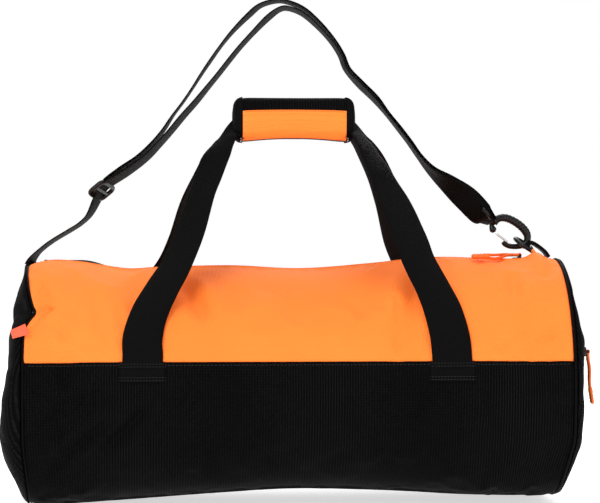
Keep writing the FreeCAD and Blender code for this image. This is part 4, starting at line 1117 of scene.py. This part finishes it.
GRIP_LOW, GRIP_HIGH = corners("front_grip_cover")
# Cloth round the grip for each radian of turn; its cover's thickness; and the
# y of its flat back.
GRIP_BEND = 22.0
GRIP_COVER = 1.3
GRIP_BACK = -0.5


def grip_bow(x):
    """How far the grip's lower edge rises between its ends."""
    return 4.0 * (1 - (x / 56) ** 2).clip(0)


def grip_point(x, turn, proud=0.0):
    """A point of the padded grip's front face; turn runs from its lower to its upper back edge."""
    half = GRIP_HIGH.x
    inside = np.clip(np.abs(x) / (half + 0.2), 0, 0.9995)
    end = (1 - inside ** 14) ** 0.3
    bow = grip_bow(x)
    bottom, top = GRIP_LOW.z + bow, GRIP_HIGH.z - 0.1 * bow
    middle, height = (bottom + top) / 2, (top - bottom) / 2
    crown = 1 + 0.05 * np.cos(np.clip(x / half, -1, 1) * math.pi / 2)
    depth = (abs(GRIP_LOW.y) - GRIP_COVER) * crown
    c, s = np.cos(turn), np.sin(turn)
    wrinkle = 0.45 * np.sin(s * 11 + 0.7 * np.sin(x / 9)) * np.exp(-((np.abs(x) - 30) / 30) ** 2) * c
    y = GRIP_BACK - (end * depth * np.abs(c) ** 0.55 + proud * c + wrinkle)
    z = middle + (end * height + proud * np.abs(s)) * np.sign(s) * np.abs(s) ** 0.6
    return np.stack(np.broadcast_arrays(x, y, z), axis=-1)


def grip_sheet(name, xs, turns, proud, thickness, mirror):
    """A layer of cloth on the grip, mirror being (-1, -1, 1) on the rear one."""
    outer, inner = (grip_point(xs[None, :], turns[:, None], height) * mirror
                    for height in (proud, proud - thickness))
    return thick_sheet(name, outer, inner - outer, 1.0, turns * GRIP_BEND, xs)


def grip_stitches(name, places, proud, **sizes):
    """Thread on the front grip, along lines of (x, turn)."""
    lines = []
    for x, turn in places:
        x, turn = np.broadcast_arrays(x, turn)
        lines.append((grip_point(x, turn, proud), np.stack([0 * turn, -np.cos(turn), np.sin(turn)], axis=1)))
    return stitches(name, lines, **sizes)


def make_grip(side):
    """Padded half: cover, orange panel, bound ends, stitching and what is inside."""
    mirror = np.array([1, 1, 1] if side == "front" else [-1, -1, 1])
    body = f"{side}_handle"
    half = GRIP_HIGH.x
    xs = np.concatenate([np.linspace(-half, -half + 6, 10), np.linspace(-half + 8, half - 8, 60),
                         np.linspace(half - 6, half, 10)])
    turns = np.linspace(-math.pi / 2, math.pi / 2, 44)
    cover = grip_sheet(f"{side}_grip_cloth", xs, turns, 0.0, GRIP_COVER, mirror)
    finish_piece(cover, body, "black", "black_fabric", f"{side}_grip_cover")
    for end, sign in (("left", -1), ("right", 1)):
        band_x = np.sort(sign * np.linspace(half - 9.5, half + 0.1, 10))
        band = grip_sheet(f"{side}_grip_binding_{end}", band_x, np.linspace(-1.5, 1.5, 40), GRIP_COVER, 1.2,
                          mirror)
        finish_piece(band, body, "tape", "black_fabric")
    if side == "front":
        panel = grip_sheet("grip_orange_cloth", np.linspace(-53, 53, 80), np.linspace(-1.12, 0.2, 34),
                           1.0, 0.9, mirror)
        finish_piece(panel, body, "orange", "orange_fabric", "grip_orange_panel")
        along, round_it = np.linspace(-50, 50, 60), np.linspace(-1.25, -0.7, 12)
        rows = grip_stitches("grip_stitching", [(along, -1.08), (along, 0.16)], 1.25, length=2.2, gap=0.9,
                             width=0.6)
        finish_piece(rows, body, "cord", "orange_fabric")
        tacks = grip_stitches("grip_bar_tacks", [(-53.2, round_it), (53.2, round_it)], 2.0, length=1.8,
                              gap=0.9, width=0.9)
        finish_piece(tacks, body, "pale_thread", "orange_fabric")
    foam_x = np.linspace(-half + 3, half - 3, 60)
    foam = grip_sheet(f"{side}_grip_padding", foam_x, turns * 0.96, -1.7, 4.5, mirror)
    finish_piece(foam, body, "foam", "foam", f"{side}_grip_foam")
    strip_x = np.linspace(-half + 10, half - 10, 50)
    low = GRIP_LOW.z + grip_bow(strip_x) + 2
    rises = np.linspace(0, 8, 5)
    points = np.array([[(x, GRIP_BACK, z + rise) for x, z in zip(strip_x, low)] for rise in rises])
    strip = thick_sheet(f"{side}_grip_closing_tape", points * mirror, np.array([0, -1, 0]) * mirror, 0.6,
                        rises, strip_x)
    finish_piece(strip, body, "hook_tape", "hook_tape", f"{side}_grip_closing_strip")


def make_handles(shell):
    for side in ("front", "rear"):
        make_handle(shell, side)
        make_grip(side)
    make_patches(shell)


# ------------------------------------------------------- shoulder strap

RING_POINT = np.array([229.0, 26.0, 260.0])
ANCHOR_POINT = np.array([-263.0, 62.0, 240.0])
CREST_POINT = np.array([-15.0, 0.0, 492.0])

# (x, height, half width seen): where the half width is small, the webbing
# has turned partly edge-on.
LOWER_LAYER = [(202, 277, 5), (196.5, 281.5, 8), (190, 286.5, 11.6), (176.5, 300.5, 12.2),
               (158.5, 315, 9.5), (140.5, 329, 5), (127.6, 343.5, 2.9), (117, 358, 2.6),
               (106, 372, 2.6), (93.6, 387, 2.4), (81.5, 401, 3.4), (66.5, 415.5, 3.8),
               (53, 430, 2.6), (46.8, 444.5, 2.6), (37.2, 459, 2.8), (23.5, 473.5, 3),
               (9, 485.5, 3.4), (-5, 491, 3.6), (-14, 490, 3.6), (-25, 482, 3.8),
               (-38.5, 468.5, 3.2), (-51.5, 454.5, 3), (-63, 440.5, 3), (-74, 426.5, 3),
               (-85.5, 412.5, 3.2), (-97, 398.5, 3.6), (-109.5, 384.5, 3.8), (-121.5, 370, 3.8),
               (-134, 356, 4), (-148, 342, 4.6), (-167, 328, 5.2), (-188, 315, 5.6),
               (-198, 305, 5)]
UPPER_LAYER = [(203, 279, 5), (198, 283.5, 8), (191.5, 288.5, 11.4), (178, 302, 11.8),
               (159.5, 317, 9), (141.5, 331, 4.6), (129, 345, 2.6), (118.5, 359.5, 2.4),
               (107.5, 373.5, 2.4), (95, 388.5, 2.3), (83.3, 403, 3.2), (68.3, 417.5, 3.4),
               (55.5, 432, 2.4), (48.8, 447, 2.2), (39.4, 461.5, 2.2), (25.6, 477, 2.6),
               (10, 490, 3.2), (-5, 496.5, 3.4), (-17, 498, 3.4), (-33, 493.5, 3.4),
               (-45, 483.5, 3.4), (-59.5, 469, 2.6), (-71.5, 454.5, 2), (-81.5, 440.5, 2),
               (-91, 426.5, 1.8), (-100, 412.5, 1.5), (-109.5, 398.5, 1.6), (-120, 384.5, 1.8),
               (-129.5, 370, 2.4), (-140.5, 356, 3.4), (-154, 342.5, 4.4), (-172, 329.5, 5.2),
               (-188, 316, 5.4), (-196, 301, 4.4), (-204, 285, 3.3), (-213, 276, 3.2),
               (-223, 269.5, 3.4), (-242, 258, 3.3), (-255, 248, 3.2), (-262, 240.5, 4),
               (-265, 235, 4.5)]
STRAP_HALF = 12.5


def strap_plane():
    """Unit normal, towards the front, of the plane that the strap hangs in."""
    normal = unit(np.cross(RING_POINT - ANCHOR_POINT, CREST_POINT - ANCHOR_POINT))
    return -normal * np.sign(normal[1])


STRAP_NORMAL = strap_plane()


def on_strap_plane(x, z):
    away = (x - ANCHOR_POINT[0]) * STRAP_NORMAL[0] + (z - ANCHOR_POINT[2]) * STRAP_NORMAL[2]
    return np.array([x, ANCHOR_POINT[1] - away / STRAP_NORMAL[1], z])


def strap_layer(name, knots, offset):
    """One layer of the strap, turned so that it shows the width it is seen with."""
    centres = np.array([on_strap_plane(x, z) for x, z, _ in knots])
    in_plane = np.cross(STRAP_NORMAL, unit(np.gradient(centres, axis=0)))
    turn = np.arccos(np.clip([seen / STRAP_HALF for _, _, seen in knots], 0.1, 1))[:, None]
    towards = unit(STRAP_NORMAL * np.cos(turn) + in_plane * np.sin(turn))
    rows = np.concatenate([centres + STRAP_NORMAL * offset, towards], axis=1)
    line = smooth_line(rows, 16 * len(knots))
    half = np.full(len(line), STRAP_HALF - 0.1)
    layer = ribbon(name, line[:, :3], unit(line[:, 3:]), half, STRAP_THICKNESS, cup=0.35, across=12)
    finish_piece(layer, "shoulder_strap", "webbing", "black_webbing")
    return layer


def make_strap():
    """The strap's two layers, and its end that is sewn to the bag."""
    lower = strap_layer("strap_lower_layer", LOWER_LAYER, 2.4)
    strap_layer("strap_upper_layer", UPPER_LAYER, -2.0)
    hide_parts("shoulder_strap_webbing")

    start, end = on_strap_plane(-265, 236), on_strap_plane(-258, 246)
    middle = centre_of("left_strap_anchor")
    line = smooth_line([[*(start + (end - start) * 0.3), *STRAP_NORMAL],
                        [*start, *(STRAP_NORMAL * 0.7 + [0, 0, 0.3])],
                        [start[0] - 1, start[1] - 2, start[2] - 6, 0.2, 0.4, 0.7],
                        [*(middle + [-3, 1, 3]), 0, 0.55, 0.83], [*(middle + [8, 0, 2]), 0, 0.5, 0.86]], 50)
    half = 3.6 + 6.4 * ramp(np.linspace(0, 1, 50), 0.3, 0.9)
    foot = ribbon("strap_sewn_end", line[:, :3], unit(line[:, 3:]), half, 1.5)
    finish_piece(foot, "bag", "webbing", "black_webbing", "left_strap_anchor")


# ------------------------------------------------------------- hardware

def make_adjuster():
    """The sliding strap adjuster: a frame with a middle bar, turned as the strap turns."""
    middle = centre_of("strap_adjuster")
    ahead = unit(on_strap_plane(-167, 329) - on_strap_plane(-198, 303))
    tilt = math.radians(58)
    across = np.cross(STRAP_NORMAL, ahead) * math.cos(tilt) + STRAP_NORMAL * math.sin(tilt)
    turn = np.linspace(0, 2 * math.pi, 90, endpoint=False)
    reach, width = (size * np.sign(wave) * np.abs(wave) ** 0.45
                    for size, wave in ((9.5, np.cos(turn)), (14.5, np.sin(turn))))
    loop = middle + reach[:, None] * ahead + width[:, None] * across
    finish_piece(tube("adjuster_frame", loop, 2.3, sides=14, closed=True), "adjuster", "black_plastic",
                 "black_metal", "strap_adjuster")
    bar = middle + np.linspace(-13.5, 13.5, 24)[:, None] * across
    finish_piece(tube("adjuster_bar", bar, 2.0, sides=14), "adjuster", "black_plastic", "black_metal")


# The hook's parts as (x, z, radius).
HOOK_ROUTE = [(205.5, 276.5, 3.2), (209, 281, 3.7), (215, 282.4, 3.8), (222, 280.6, 3.8), (230, 276, 3.9),
              (236, 270.5, 3.9), (239.4, 264.5, 3.7), (239, 258.5, 3.4), (235.5, 254.8, 3),
              (229, 253.2, 2.8), (222, 253.4, 2.7), (217, 255.6, 2.9), (214.6, 258, 2.5)]
HOOK_COLLAR = [(198, 287, 3.6), (201, 283.4, 5.2), (205, 278.6, 5), (207, 276.2, 3.2)]
HOOK_PIVOT = [(204, 279, 2.2), (203, 274.5, 2.4), (204.4, 270, 3.6), (205.4, 267.6, 1.8)]


def make_hook():
    """The snap hook: ridged back, nose, swivel collar and the loop in the strap's fold."""
    y = centre_of("right_hook_body")[1]
    line = smooth_line(HOOK_ROUTE, 220)
    part = np.linspace(0, 1, len(line))
    ridges = 0.4 * np.abs(np.sin(part * 88)) * ramp(part, 0.14, 0.18) * (1 - ramp(part, 0.46, 0.5))
    for name, line, swell, nodes in (
            ("hook_casting", line, ridges, ["right_hook_body"]),
            ("hook_collar", smooth_line(HOOK_COLLAR, 40), 0, []),
            ("hook_pivot", smooth_line(HOOK_PIVOT, 40), 0, [])):
        centres = np.insert(line[:, :2], 1, y, axis=1)
        finish_piece(tube(name, centres, line[:, 2] + swell, sides=18), "right_hook", "black_plastic",
                     "black_plastic", *nodes)
    knots = [(193, y - 12, 291), (191.6, y, 292.6), (193, y + 12, 291), (198.6, y + 12.4, 284.5),
             (202.4, y + 5, 280), (203, y, 279.4), (202.4, y - 5, 280), (198.6, y - 12.4, 284.5)]
    # Three turns, of which the middle one joins up smoothly.
    ring = smooth_line(knots * 3, 240)[80:160]
    loop = tube("hook_swivel_wire", ring, 1.7, sides=12, closed=True)
    finish_piece(loop, "shoulder_strap", "black_metal", "black_metal", "right_hook_swivel_loop")


def make_hardware():
    make_adjuster()
    make_hook()
    paint(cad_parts["right_hook_gate"], "wire")
    paint(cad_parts["right_d_ring"], "black_plastic")
    low, high = corners("right_d_ring_tab")
    y, top = centre_of("right_d_ring_tab")[1], high.z
    line = smooth_line([(low.x - 4, y, top - 4, 0, 0, 1), (low.x, y, top, -0.4, 0, 1),
                        (low.x + 4, y, top + 1.6, 0, 0, 1), (low.x + 10, y, top - 1.6, 0.4, 0, 1),
                        (high.x, y, top - 7.5, 0.7, 0, 0.7), (high.x + 4, y, top - 13, 0.9, 0, 0.4)], 60)
    tab = ribbon("d_ring_webbing", line[:, :3], unit(line[:, 3:]), np.full(60, 10.5), 3.4, cup=0.6)
    finish_piece(tab, "bag", "webbing", "black_webbing", "right_d_ring_tab")


make_camera()
make_stage()
make_materials()
shell = make_barrel()
make_board()
make_ends()
make_zips()
make_handles(shell)
make_strap()
make_hardware()
